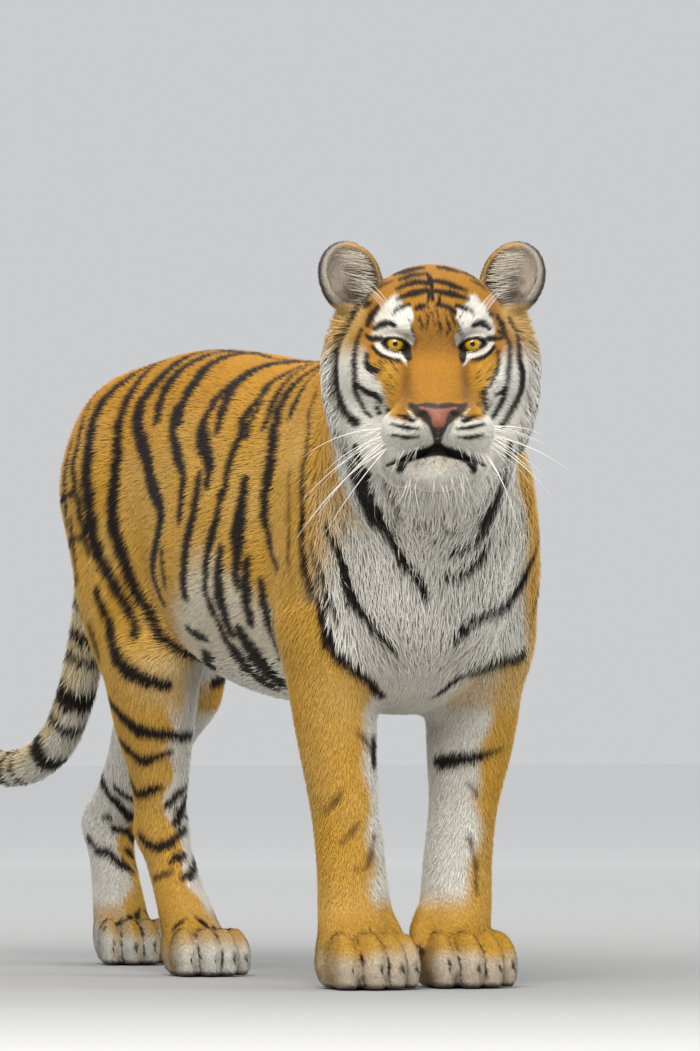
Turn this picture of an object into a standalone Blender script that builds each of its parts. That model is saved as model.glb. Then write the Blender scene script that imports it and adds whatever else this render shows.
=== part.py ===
"""A life-size Bengal tiger, standing with its head turned to the right, as a set of solids that meet at thin cuts.

Metres, +Z up. The tiger faces -Y, so +X is its left, and its paws rest on z = 0. The coat's outer surface is one
smooth union of masses (muscles, bones and fat). It is meshed once and parted into the body's nodes by thin cuts.
"""

import math

import bmesh
import bpy
import numpy as np
from mathutils import Matrix, Vector
from mathutils.bvhtree import BVHTree

# ---------------------------------------------------------------- driving sizes

WITHERS_Z = 0.925  # height of the back over the shoulders, to the tips of the coat
CROUP_Z = 0.937  # height of the back over the hips
TRUNK_HALF_WIDTH = 0.186
CUT = 0.0004  # gap between two neighbouring solids
RIGHT, LEFT = -1, 1
UP = (0, 0, 1)

HEAD_ORIGIN = (-0.158, -0.390, 0.900)  # midway between the eyeballs
HEAD_YAW = 23.5  # degrees to the tiger's right
HEAD_PITCH = 0.0  # degrees, nose up
EYE_X, EYE_Y, EYE_Z = 0.0535, 0.004, 0.0
EYE_R = 0.0185

LID = 0.0035  # thickness of the eyelids

# Each leg's joints, in the body's frame: the shoulder or hip first, the middle of the paw last.
FORE_LEGS = {
    RIGHT: {"elbow": (-0.120, 0.045, 0.520), "wrist": (-0.098, -0.008, 0.150), "paw": (-0.108, -0.050, 0.0),
            "turn": 4, "spread": 0.000, "bulk": 1.0, "dew": 0.056, "inner": -0.050},
    LEFT: {"elbow": (0.128, 0.040, 0.510), "wrist": (0.067, -0.004, 0.150), "paw": (0.050, -0.042, 0.0),
           "turn": 3, "spread": -0.006, "bulk": 1.13, "dew": 0.066, "inner": 0.024},
}
HIND_LEGS = {
    RIGHT: {"hip": (-0.078, 0.845, 0.700), "knee": (-0.116, 0.640, 0.460), "hock": (-0.084, 0.690, 0.215),
            "paw": (-0.070, 0.580, 0.0), "turn": 2},
    LEFT: {"hip": (0.084, 0.860, 0.700), "knee": (0.088, 1.005, 0.430), "hock": (0.070, 1.235, 0.215),
           "paw": (0.062, 1.135, 0.0), "turn": -6},
}
FORE_PAW, HIND_PAW = (0.126, 0.170, 0.080), (0.112, 0.150, 0.070)  # width, length and height
FLANK_Y = 0.545  # where the belly meets the hindquarters
THIGH_Z = 0.560  # the hindquarters end at this height, and the thighs begin
GROIN_Y = 0.825  # the left thigh, which is drawn back, begins behind this
ARM_Z = 0.470  # the same for the chest and the forelegs
ARMPIT_Y = 0.145
WRIST_Z, HOCK_Z = 0.118, 0.182
HEAD_TRIANGLES, TRUNK_TRIANGLES = 1850, 1930
TOES = ((-1.5, 0.24), (-0.5, 0.36), (0.5, 0.36), (1.5, 0.24))  # place across the paw and reach ahead of its middle

# ---------------------------------------------------------------- masses and their smooth union


def smooth_min(a, b, blend):
    share = np.clip(0.5 + 0.5 * (b - a) / blend, 0.0, 1.0)
    return b + (a - b) * share - blend * share * (1.0 - share)


def spline(rows, steps):
    """Catmull-Rom through rows of numbers, with steps pieces between neighbours."""
    rows = np.asarray(rows, float)
    ends = np.vstack([2 * rows[0] - rows[1], rows, 2 * rows[-1] - rows[-2]])
    made = []
    for i in range(1, len(ends) - 2):
        before, start, end, after = ends[i - 1:i + 3]
        for t in np.arange(steps) / steps:
            made.append(0.5 * (2 * start + (end - before) * t + (2 * before - 5 * start + 4 * end - after) * t ** 2
                               + (3 * start - before - 3 * end + after) * t ** 3))
    made.append(ends[-2])
    return np.array(made)


def turned(degrees, axis):
    return np.array(Matrix.Rotation(math.radians(degrees), 3, axis))


def ball(centre, radii, turn=None):
    """An ellipsoid. turn is a 3 by 3 matrix whose columns are its own axes."""
    centre, radii = np.array(centre, float), np.array(radii, float)
    axes = np.eye(3) if turn is None else np.asarray(turn, float)

    def depth(points):
        q = (points - centre) @ axes
        near = np.sqrt(((q / radii) ** 2).sum(1)) + 1e-9
        slope = np.sqrt(((q / radii ** 2) ** 2).sum(1)) + 1e-9
        return near * (near - 1.0) / slope

    return depth, centre, radii.max()


def loft(stations, front=(0, -1, 0), power=2.0, steps=4, cap=1.0):
    """A closed tube through stations of (x, y, z, side, fore, aft): its half-width sideways, and its reach from the
    axis towards front and away from it."""
    rows = spline(stations, steps)
    centres, radii = rows[:, :3], np.maximum(rows[:, 3:6], 1e-3)
    along = np.gradient(centres, axis=0)
    along /= np.linalg.norm(along, axis=1)[:, None]
    front = np.broadcast_to(np.asarray(front, float), along.shape)
    fore = front - (front * along).sum(1)[:, None] * along
    fore = fore / np.linalg.norm(fore, axis=1)[:, None]
    side = np.cross(along, fore)

    def depth(points):
        best = np.full(len(points), np.inf)
        where = np.zeros(len(points))
        for i in range(len(centres) - 1):
            a, ab = centres[i], centres[i + 1] - centres[i]
            h = np.clip((points - a) @ ab / (ab @ ab), 0.0, 1.0)
            gap = ((points - a - h[:, None] * ab) ** 2).sum(1)
            closer = gap < best
            best[closer] = gap[closer]
            where[closer] = i + h[closer]
        i = np.minimum(where.astype(int), len(centres) - 2)
        t = (where - i)[:, None]

        def at(values):
            return values[i] * (1 - t) + values[i + 1] * t

        q, size = points - at(centres), at(radii)
        across, through = (q * at(side)).sum(1), (q * at(fore)).sum(1)
        endwise = (q * at(along)).sum(1)
        reach = np.where(through > 0, size[:, 1], size[:, 2])
        tip = cap * np.minimum(size[:, 0], reach)
        near = (np.abs(across / size[:, 0]) ** power + np.abs(through / reach) ** power
                + np.abs(endwise / tip) ** power) ** (1 / power) + 1e-9
        return np.sqrt((q ** 2).sum(1)) * (1.0 - 1.0 / near)

    middle = (centres.min(0) + centres.max(0)) / 2
    return depth, middle, np.linalg.norm(centres - middle, axis=1).max() + radii.max()


def barrel(sections, power, cap):
    """A closed body along Y through sections of (y, x, top, bottom, half-width, height of the widest place)."""
    rows = spline(sections, 6)

    def depth(points):
        y = np.clip(points[:, 1], rows[0, 0], rows[-1, 0])
        x, top, bottom, half, middle = (np.interp(y, rows[:, 0], rows[:, i]) for i in range(1, 6))
        q = points - np.stack([x, y, middle], 1)
        reach = np.where(q[:, 2] > 0, top - middle, middle - bottom)
        tip = cap * np.minimum(half, reach)
        near = (np.abs(q[:, 0] / half) ** power + np.abs(q[:, 2] / reach) ** power
                + np.abs(q[:, 1] / tip) ** power) ** (1 / power) + 1e-9
        return np.sqrt((q ** 2).sum(1)) * (1.0 - 1.0 / near)

    low = np.array([-rows[:, 4].max(), rows[0, 0], rows[:, 3].min()])
    high = np.array([rows[:, 4].max(), rows[-1, 0], rows[:, 2].max()])
    return depth, (low + high) / 2, np.linalg.norm(high - low) / 2


BAND = 0.09  # a mass is worked out only within this distance


class Masses:
    """Masses joined one after another, each with its own blend. A hollow is taken away from those before it."""

    def __init__(self, place=None):
        self.rows = []
        self.place = place  # (origin, axes) of the frame that the masses are given in

    def add(self, mass, blend=0.03):
        self.rows.append((mass, blend, False))

    def hollow(self, mass, blend=0.01):
        self.rows.append((mass, blend, True))

    def pair(self, centre, radii, blend=0.03, turn=None, hollow=False):
        """The same ball on both sides."""
        for sign in (RIGHT, LEFT):
            flip = np.array([sign, 1.0, 1.0])
            axes = None if turn is None else (flip[:, None] * np.asarray(turn) * flip[None, :])
            self.rows.append((ball(np.array(centre) * flip, radii, axes), blend, hollow))

    def depth(self, points):
        if self.place is not None:
            origin, axes = self.place
            points = (points - origin) @ axes
        found = np.full(len(points), 2 * BAND)
        for (depth, centre, reach), blend, hollow in self.rows:
            near = ((points - centre) ** 2).sum(1) < (reach + BAND) ** 2
            if not near.any():
                continue
            mine = depth(points[near])
            found[near] = -smooth_min(-found[near], mine, blend) if hollow else smooth_min(found[near], mine, blend)
        return found


# ---------------------------------------------------------------- trunk, neck and tail


def trunk_masses(body):
    # y, x, top, bottom, half-width, height of the widest place
    profile = [
        (-0.150, -0.030, 0.800, 0.490, 0.100, 0.630),
        (-0.080, -0.016, 0.880, 0.415, 0.130, 0.620),
        (0.010, -0.004, WITHERS_Z - 0.004, 0.388, 0.148, 0.600),
        (0.130, 0.004, WITHERS_Z - 0.008, 0.392, 0.168, 0.600),
        (0.270, 0.008, 0.906, 0.402, TRUNK_HALF_WIDTH, 0.610),
        (0.410, 0.010, 0.912, 0.411, TRUNK_HALF_WIDTH, 0.620),
        (0.540, 0.010, 0.927, 0.440, 0.172, 0.640),
        (0.650, 0.006, CROUP_Z, 0.488, 0.152, 0.680),
        (0.750, 0.002, 0.935, 0.540, 0.142, 0.710),
        (0.850, 0.000, 0.918, 0.585, 0.128, 0.730),
        (0.925, 0.000, 0.888, 0.630, 0.106, 0.740),
        (0.985, 0.000, 0.845, 0.680, 0.074, 0.745),
    ]
    body.add(barrel(profile, 2.25, 0.5), 0.02)
    body.add(ball((-0.042, -0.135, 0.585), (0.082, 0.050, 0.120)), 0.06)  # breastbone and its bib of longer coat


def neck_masses(body):
    stations = [
        (0.000, 0.060, 0.680, 0.130, 0.170, 0.170),
        (-0.022, -0.040, 0.730, 0.144, 0.176, 0.195),
        (-0.054, -0.130, 0.775, 0.138, 0.156, 0.190),
        (-0.090, -0.215, 0.815, 0.132, 0.148, 0.178),
    ]
    body.add(loft(stations, front=UP, cap=0.8), 0.06)


def tail_masses(body):
    # x, y, z of the middle and the radius to the tips of the coat
    stations = [
        (0.004, 0.940, 0.835, 0.052),
        (0.004, 1.010, 0.805, 0.045),
        (0.004, 1.080, 0.730, 0.038),
        (0.004, 1.125, 0.630, 0.034),
        (0.002, 1.153, 0.520, 0.032),
        (-0.006, 1.185, 0.420, 0.032),
        (-0.012, 1.245, 0.345, 0.032),
        (-0.018, 1.345, 0.307, 0.031),
        (-0.026, 1.450, 0.303, 0.029),
        (-0.034, 1.550, 0.335, 0.026),
        (-0.040, 1.630, 0.400, 0.021),
        (-0.044, 1.670, 0.470, 0.012),
    ]
    body.add(loft([(x, y, z, r, r, r) for x, y, z, r in stations], front=UP), 0.03)


# ---------------------------------------------------------------- legs


def paw_masses(body, paw, turn, width, length, height):
    """Four toes fanned round the front of a low pad. The paw points along -Y, turned by turn degrees."""
    origin = Vector(paw)
    spin = Matrix.Rotation(math.radians(turn), 3, "Z")

    def at(x, y, z):
        return tuple(origin + spin @ Vector((x, y, z)))

    axes = np.array(spin)
    body.add(ball(at(0, 0.014, height * 0.42), (width * 0.43, length * 0.42, height * 0.62), axes), 0.02)
    for toe, reach in TOES:
        x = toe * width * 0.245
        lean = axes @ turned(toe * 7.0, "Z")
        knuckle = at(x, -length * (reach - 0.08), height * 0.50)
        body.add(ball(knuckle, (width * 0.148, length * 0.24, height * 0.52), lean), 0.008)
        tip = at(x * 1.04, -length * (reach + 0.05), height * 0.32)
        body.add(ball(tip, (width * 0.134, length * 0.14, height * 0.42), lean), 0.010)


def foreleg_masses(body, side, elbow, wrist, paw, turn, spread, bulk, dew, **_):
    """spread moves the point of the shoulder outwards; bulk thickens the upper forearm."""
    shoulder_top = (side * 0.060, 0.050, 0.850)
    shoulder = (side * (0.098 + spread), -0.070, 0.650)
    body.add(loft([
        (*shoulder_top, 0.050, 0.085, 0.085),
        (side * (0.092 + spread), -0.005, 0.745, 0.062, 0.100, 0.105),
        (*shoulder, 0.058, 0.070, 0.090),
    ]), 0.06)
    ex, ey, ez = elbow
    body.add(loft([
        (side * (0.106 + spread), 0.020, 0.710, 0.060, 0.105, 0.120),
        (ex, 0.020, 0.600, 0.062 * bulk, 0.100, 0.110),
        (ex, ey, ez - 0.010, 0.060 * bulk, 0.088, 0.086),
    ]), 0.05)
    wx, wy, wz = wrist
    px, py, _ = paw

    def between(t, side_r, fore, aft):
        return (ex + (wx - ex) * t, ey + (wy - ey) * t, ez + (wz - ez) * t, side_r, fore, aft)

    body.add(loft([
        between(0.00, 0.060 * bulk, 0.088, 0.086),
        between(0.20, 0.059 * bulk, 0.080, 0.080),
        between(0.45, 0.055 * bulk, 0.069, 0.070),
        between(0.70, 0.048, 0.057, 0.061),
        between(0.92, 0.049, 0.052, 0.059),
        (wx * 0.8 + px * 0.2, wy - 0.006, wz - 0.035, 0.052, 0.050, 0.056),
        (px, wy - 0.024, 0.062, 0.054, 0.050, 0.050),
    ], cap=0.5), 0.035)
    body.add(ball((wx, wy + 0.042, wz + 0.015), (0.020, 0.018, 0.028)), 0.02)  # carpal pad behind the wrist
    paw_masses(body, paw, turn, *FORE_PAW)
    inner = -side
    body.add(loft([
        (px + inner * 0.036, wy - 0.020, 0.105, 0.020, 0.020, 0.020),
        (px + inner * (0.024 + dew * 0.5), wy - 0.034, 0.080, 0.016, 0.018, 0.018),
        (px + inner * dew, wy - 0.046, 0.062, 0.012, 0.013, 0.013),
    ]), 0.012)  # the dew claw's toe


def hindleg_masses(body, side, hip, knee, hock, paw, turn):
    hip, knee, hock, paw = (Vector(p) for p in (hip, knee, hock, paw))
    body.add(ball((side * 0.064, 0.860, 0.765), (0.080, 0.132, 0.125)), 0.06)  # rump
    mid = hip.lerp(knee, 0.5)
    body.add(loft([
        (hip.x, hip.y, hip.z + 0.030, 0.074, 0.140, 0.112),
        (mid.x, mid.y + 0.015, mid.z, 0.074, 0.120, 0.110),
        (knee.x, knee.y + 0.010, knee.z + 0.010, 0.058, 0.078, 0.078),
    ]), 0.05)
    shin = hock - knee
    calf = knee + shin * 0.35 + Vector((0, 0.030, 0))
    seat = Vector((side * 0.060, 0.915, 0.740))
    body.add(loft([
        (*seat, 0.058, 0.080, 0.066),
        (*seat.lerp(calf, 0.5), 0.054, 0.075, 0.062),
        (*calf, 0.036, 0.045, 0.040),
    ]), 0.06)  # the muscles down the back of the thigh

    def along(t, side_r, fore, aft):
        p = knee + shin * t
        return (p.x, p.y, p.z, side_r, fore, aft)

    body.add(loft([
        along(0.00, 0.058, 0.074, 0.078),
        along(0.25, 0.056, 0.068, 0.078),
        along(0.55, 0.048, 0.055, 0.064),
        along(0.85, 0.038, 0.046, 0.048),
        along(1.00, 0.037, 0.044, 0.044),
    ]), 0.045)
    heel = hock + Vector((0, 0.040, 0.022))
    string = knee + shin * 0.45 + Vector((0, 0.040, 0.0))
    body.add(loft([
        (*string, 0.024, 0.026, 0.026),
        (*string.lerp(heel, 0.6), 0.017, 0.018, 0.018),
        (*heel, 0.022, 0.021, 0.021),
    ]), 0.02)
    ball_joint = paw + Vector((0, 0.030, 0.058))
    body.add(loft([
        (*hock, 0.038, 0.042, 0.042),
        (*hock.lerp(ball_joint, 0.45), 0.036, 0.040, 0.040),
        (*ball_joint, 0.044, 0.046, 0.042),
    ]), 0.02)
    paw_masses(body, paw, turn, *HIND_PAW)


# ---------------------------------------------------------------- head


def head_frame():
    """(origin, axes): the columns are the head's left, back and up, as the body's are."""
    axes = turned(-HEAD_YAW, "Z") @ turned(HEAD_PITCH, "X")
    return np.array(HEAD_ORIGIN), axes


def head_masses():
    """The head in its own frame: x to its left, y back, z up, from midway between the eyeballs."""
    head = Masses(head_frame())
    head.add(ball((0, 0.082, 0.016), (0.106, 0.115, 0.098)), 0.03)  # brain case
    head.add(ball((0, 0.045, 0.036), (0.080, 0.062, 0.066)), 0.03)  # forehead
    head.pair((0.080, 0.042, -0.034), (0.050, 0.056, 0.058), 0.03)  # cheekbones
    head.pair((0.102, 0.088, -0.036), (0.052, 0.048, 0.112), 0.03)  # ruff
    head.pair((0.078, 0.070, -0.112), (0.052, 0.050, 0.060), 0.03)  # the ruff's lower lobe
    head.add(ball((0, 0.040, -0.128), (0.092, 0.085, 0.062)), 0.04)  # throat
    # x, y, z of the axis, half-width, reach up and down: the flat bridge of the nose
    head.add(loft([
        (0, 0.022, 0.012, 0.034, 0.027, 0.040),
        (0, -0.007, -0.015, 0.034, 0.027, 0.040),
        (0, -0.034, -0.045, 0.036, 0.027, 0.042),
        (0, -0.074, -0.075, 0.039, 0.027, 0.040),
        (0, -0.108, -0.097, 0.038, 0.025, 0.030),
    ], front=UP, power=2.8, cap=0.4), 0.016)
    head.pair((0.046, 0.002, 0.030), (0.032, 0.022, 0.016), 0.016)  # brows
    head.pair((0.050, 0.000, -0.056), (0.036, 0.042, 0.046), 0.030)  # upper jaw, below the eyes
    head.add(ball((0, -0.054, -0.108), (0.062, 0.068, 0.046)), 0.024)  # muzzle
    head.pair((0.041, -0.088, -0.120), (0.037, 0.045, 0.032), 0.014)  # whisker pads
    head.pair((0.050, -0.062, -0.144), (0.025, 0.040, 0.022), 0.012)  # hanging corners of the upper lip
    head.pair((0.040, -0.008, -0.165), (0.040, 0.086, 0.034), 0.02)  # lower jaw
    head.add(ball((0, -0.072, -0.178), (0.050, 0.044, 0.030)), 0.012)  # chin
    head.add(ball((0, -0.111, -0.098), (0.037, 0.027, 0.017)), 0.008)  # nose, across the nostrils
    head.add(ball((0, -0.119, -0.110), (0.019, 0.022, 0.017)), 0.006)  # nose, between them
    head.pair((0.027, -0.134, -0.106), (0.013, 0.010, 0.0045), 0.004, turned(38, "Y"), hollow=True)  # nostrils
    head.hollow(ball((0, -0.143, -0.132), (0.0035, 0.016, 0.013)), 0.004)  # groove of the upper lip
    # the mouth, a little open: highest in the middle, hanging to its corners
    head.hollow(loft([
        (-0.054, -0.045, -0.168, 0.010, 0.0025, 0.0025),
        (-0.047, -0.078, -0.164, 0.024, 0.0035, 0.0035),
        (-0.028, -0.106, -0.154, 0.028, 0.0055, 0.0055),
        (0.000, -0.115, -0.146, 0.030, 0.0075, 0.0060),
        (0.028, -0.106, -0.154, 0.028, 0.0055, 0.0055),
        (0.047, -0.078, -0.164, 0.024, 0.0035, 0.0035),
        (0.054, -0.045, -0.168, 0.010, 0.0025, 0.0025),
    ], front=UP), 0.003)
    head.pair((EYE_X, -0.024, 0.000), (0.025, 0.018, 0.015), 0.010, hollow=True)  # eye sockets
    head.pair((EYE_X, EYE_Y, EYE_Z), (EYE_R + LID,) * 3, 0.006)  # lids
    # the opening between the lids, slanting down to the inner corner
    head.pair((EYE_X - 0.001, EYE_Y - 0.018, EYE_Z - 0.001), (0.0190, 0.016, 0.0098), 0.002, turned(-14, "Y"),
              hollow=True)
    return head


def ear_masses():
    """Two upright cups, open to the front and a little outwards."""
    ears = Masses(head_frame())
    for sign in (RIGHT, LEFT):
        tilt = turned(sign * 22.0, "Y") @ turned(-sign * 20.0, "Z")
        ears.add(ball((sign * 0.113, 0.072, 0.094), (0.047, 0.026, 0.056), tilt), 0.005)
        bowl = np.array([sign * 0.113, 0.072, 0.094]) + tilt @ np.array([0.0, -0.020, 0.004])
        ears.hollow(ball(bowl, (0.037, 0.024, 0.045), tilt), 0.004)
    return ears


def all_masses():
    body = Masses()
    trunk_masses(body)
    neck_masses(body)
    for side, leg in FORE_LEGS.items():
        foreleg_masses(body, side, **leg)
    for side, leg in HIND_LEGS.items():
        hindleg_masses(body, side, **leg)
    tail_masses(body)
    return body


def body_depth(points):
    """How far each point is outside the coat's surface; negative inside."""
    found = smooth_min(all_masses().depth(points), head_masses().depth(points), 0.030)
    return smooth_min(found, ear_masses().depth(points), 0.008)


# ---------------------------------------------------------------- meshing

CORNERS = np.array([[i, j, k] for i in (0, 1) for j in (0, 1) for k in (0, 1)])
LOW, HIGH = np.array([-0.40, -0.62, -0.04]), np.array([0.34, 1.80, 1.12])  # the space the whole tiger is in
HEAD_LOW, HEAD_HIGH = np.array([-0.40, -0.58, 0.52]), np.array([0.10, -0.10, 1.10])
HEAD_STEP, TRUNK_STEP = 0.004, 0.008
MOST_POINTS = 200000  # worked out at a time


def depth_grid(depth, low, high, step, coarse=4):
    """depth on a grid, worked out finely only near the surface."""
    counts = (np.ceil((high - low) / (step * coarse)).astype(int) + 1)
    wide = np.stack(np.meshgrid(*[np.arange(n) for n in counts], indexing="ij"), -1)
    rough = depth(low + step * coarse * wide.reshape(-1, 3)).reshape(counts)
    near = np.abs(rough) < step * coarse * 2.2
    cells = np.zeros(counts - 1, bool)
    for i, j, k in CORNERS:
        cells |= near[i:i + cells.shape[0], j:j + cells.shape[1], k:k + cells.shape[2]]
    fine = np.repeat(np.repeat(np.repeat(rough[:-1, :-1, :-1], coarse, 0), coarse, 1), coarse, 2)
    fine = np.pad(fine, ((0, 1), (0, 1), (0, 1)), mode="edge")
    asked = np.repeat(np.repeat(np.repeat(cells, coarse, 0), coarse, 1), coarse, 2)
    asked = np.pad(asked, ((0, 1), (0, 1), (0, 1)), mode="edge")
    index = np.argwhere(asked)
    shares = np.array_split(index, max(1, len(index) // MOST_POINTS))
    fine[tuple(index.T)] = np.concatenate([depth(low + step * share) for share in shares])
    return fine


def surface_net(values, low, step):
    """Quads round the zero of a grid: one vertex in each cell that the surface crosses."""
    inside = values < 0
    n = np.array(values.shape) - 1
    total = np.zeros(n, np.int8)
    for i, j, k in CORNERS:
        total += inside[i:i + n[0], j:j + n[1], k:k + n[2]]
    crossed = (total > 0) & (total < 8)
    cells = np.argwhere(crossed)
    number = np.full(n, -1)
    number[tuple(cells.T)] = np.arange(len(cells))
    sums, hits = np.zeros((len(cells), 3)), np.zeros(len(cells))
    for a in CORNERS:
        for axis in range(3):
            if a[axis]:
                continue
            b = a.copy()
            b[axis] = 1
            va, vb = values[tuple((cells + a).T)], values[tuple((cells + b).T)]
            cut = (va < 0) != (vb < 0)
            t = va[cut] / (va[cut] - vb[cut])
            sums[cut] += a + (b - a) * t[:, None]
            hits[cut] += 1
    points = low + step * (cells + sums / hits[:, None])
    quads = []
    for axis in range(3):
        one, two = (axis + 1) % 3, (axis + 2) % 3
        here = [slice(None)] * 3
        there = [slice(None)] * 3
        here[axis], there[axis] = slice(0, -1), slice(1, None)
        flips = inside[tuple(here)] != inside[tuple(there)]
        edges = np.argwhere(flips)
        edges = edges[(edges[:, one] > 0) & (edges[:, two] > 0) & (edges[:, one] < n[one]) & (edges[:, two] < n[two])]
        outward = inside[tuple(edges.T)]
        ring = []
        for d1, d2 in ((-1, -1), (0, -1), (0, 0), (-1, 0)):
            cell = edges.copy()
            cell[:, one] += d1
            cell[:, two] += d2
            ring.append(number[tuple(cell.T)])
        quad = np.stack(ring, 1)
        quad[~outward] = quad[~outward][:, ::-1]
        quads.append(quad)
    return points, np.concatenate(quads)


def settle(depth, points, times=2, step=0.0015):
    """Moves points on to the surface along the depth's slope."""
    for _ in range(times):
        here = depth(points)
        slope = np.stack([depth(points + step * np.eye(3)[i]) - here for i in range(3)], 1) / step
        points = points - (here / np.maximum((slope ** 2).sum(1), 0.2))[:, None] * slope
    return points


# ---------------------------------------------------------------- solids


def mesh_object(name, points, faces):
    mesh = bpy.data.meshes.new(name)
    mesh.from_pydata([tuple(p) for p in points], [], [tuple(f) for f in faces])
    made = bpy.data.objects.new(name, mesh)
    bpy.context.scene.collection.objects.link(made)
    return made


def baked(obj):
    """The object with its modifiers made part of its mesh."""
    bpy.context.view_layer.update()
    graph = bpy.context.evaluated_depsgraph_get()
    mesh = bpy.data.meshes.new_from_object(obj.evaluated_get(graph), depsgraph=graph)
    obj.modifiers.clear()
    obj.data = mesh
    return obj


def remeshed(obj, size):
    """The same surface with every thin place closed and sound."""
    even = obj.modifiers.new("even", "REMESH")
    even.mode = "VOXEL"
    even.voxel_size = size
    return baked(obj)


def simplified(obj, triangles):
    shape = bmesh.new()
    shape.from_mesh(obj.data)
    bmesh.ops.triangulate(shape, faces=shape.faces)
    count = len(shape.faces)
    shape.to_mesh(obj.data)
    shape.free()
    fewer = obj.modifiers.new("fewer", "DECIMATE")
    fewer.ratio = triangles / count
    return baked(obj)


def sliced(obj, point, normal):
    """What lies behind the plane through point, closed with a flat face."""
    shape = bmesh.new()
    shape.from_mesh(obj.data)
    everything = shape.verts[:] + shape.edges[:] + shape.faces[:]
    cut = bmesh.ops.bisect_plane(shape, geom=everything, plane_co=point, plane_no=normal, clear_outer=True)
    bmesh.ops.holes_fill(shape, edges=[e for e in cut["geom_cut"] if isinstance(e, bmesh.types.BMEdge)])
    bmesh.ops.triangulate(shape, faces=shape.faces)
    shape.to_mesh(obj.data)
    shape.free()
    return obj


def combined(obj, other, operation):
    boolean = obj.modifiers.new("cut", "BOOLEAN")
    boolean.object = other
    boolean.operation = operation
    boolean.solver = "EXACT"
    baked(obj)
    bpy.data.objects.remove(other)
    return obj


def slab(centre, normal, up, half_width, half_height, thickness=CUT):
    """The eight corners and six faces of a thin box across the body."""
    n = Vector(normal).normalized()
    v = Vector(up) - n * n.dot(Vector(up))
    v.normalize()
    u = v.cross(n)
    corners = [Vector(centre) + u * half_width * i + v * half_height * j + n * thickness / 2 * k
               for k in (-1, 1) for i, j in ((-1, -1), (1, -1), (1, 1), (-1, 1))]
    faces = [(3, 2, 1, 0), (4, 5, 6, 7)] + [(i, (i + 1) % 4, 4 + (i + 1) % 4, 4 + i) for i in range(4)]
    return corners, faces


def loose_parts(obj):
    """Each connected piece of the mesh as its own object."""
    shape = bmesh.new()
    shape.from_mesh(obj.data)
    shape.verts.ensure_lookup_table()
    number = {}
    for first in shape.verts:
        if first in number:
            continue
        number[first] = mark = len(set(number.values()))
        reached = [first]
        while reached:
            here = reached.pop()
            for edge in here.link_edges:
                there = edge.other_vert(here)
                if there not in number:
                    number[there] = mark
                    reached.append(there)
    points = {}
    faces = {}
    for face in shape.faces:
        mark = number[face.verts[0]]
        names = points.setdefault(mark, {})
        corners = []
        for vert in face.verts:
            names.setdefault(vert, len(names))
            corners.append(names[vert])
        faces.setdefault(mark, []).append(corners)
    pieces = [([v.co.copy() for v in points[mark]], faces[mark]) for mark in points]
    shape.free()
    bpy.data.objects.remove(obj)
    return pieces


def named_pieces(obj, anchors):
    """Parts the mesh into its loose pieces and gives each the name of the anchor nearest to its middle."""
    found = {}
    for points, faces in loose_parts(obj):
        cloud = np.array(points)
        middle = (cloud.min(0) + cloud.max(0)) / 2
        name = min(anchors, key=lambda key: np.linalg.norm(middle - np.array(anchors[key])))
        assert name not in found, (name, len(points))
        found[name] = mesh_object(name, points, faces)
    assert set(found) == set(anchors), set(anchors) - set(found)
    return found


def in_head(x, y, z):
    """A point of the head's frame, in the body's."""
    origin, axes = head_frame()
    return Vector(origin + axes @ np.array([x, y, z]))


def head_direction(x, y, z):
    return Vector(head_frame()[1] @ np.array([x, y, z]))


NECK_Y = 0.150  # the head ends this far behind the eyes
NECK_SPARE = 0.02  # each side is made this much longer, so that the last cut across the neck is flat


def head_mesh():
    values = depth_grid(body_depth, HEAD_LOW, HEAD_HIGH, HEAD_STEP)
    points, quads = surface_net(values, HEAD_LOW, HEAD_STEP)
    skull = mesh_object("head", settle(body_depth, points), quads)
    sliced(skull, in_head(0, NECK_Y + NECK_SPARE, 0), head_direction(0, 1, 0))
    remeshed(skull, 0.003)
    simplified(skull, HEAD_TRIANGLES)
    return sliced(skull, in_head(0, NECK_Y - CUT, 0), head_direction(0, 1, 0))


def trunk_mesh():
    values = depth_grid(body_depth, LOW, HIGH, TRUNK_STEP)
    points, quads = surface_net(values, LOW, TRUNK_STEP)
    trunk = remeshed(mesh_object("trunk", settle(body_depth, points), quads), 0.007)
    sliced(trunk, in_head(0, NECK_Y - NECK_SPARE, 0), head_direction(0, -1, 0))
    simplified(trunk, TRUNK_TRIANGLES)
    sliced(trunk, in_head(0, NECK_Y, 0), head_direction(0, -1, 0))
    return sliced(trunk, (0, 0, 0), (0, 0, -1))  # the soles


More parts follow.
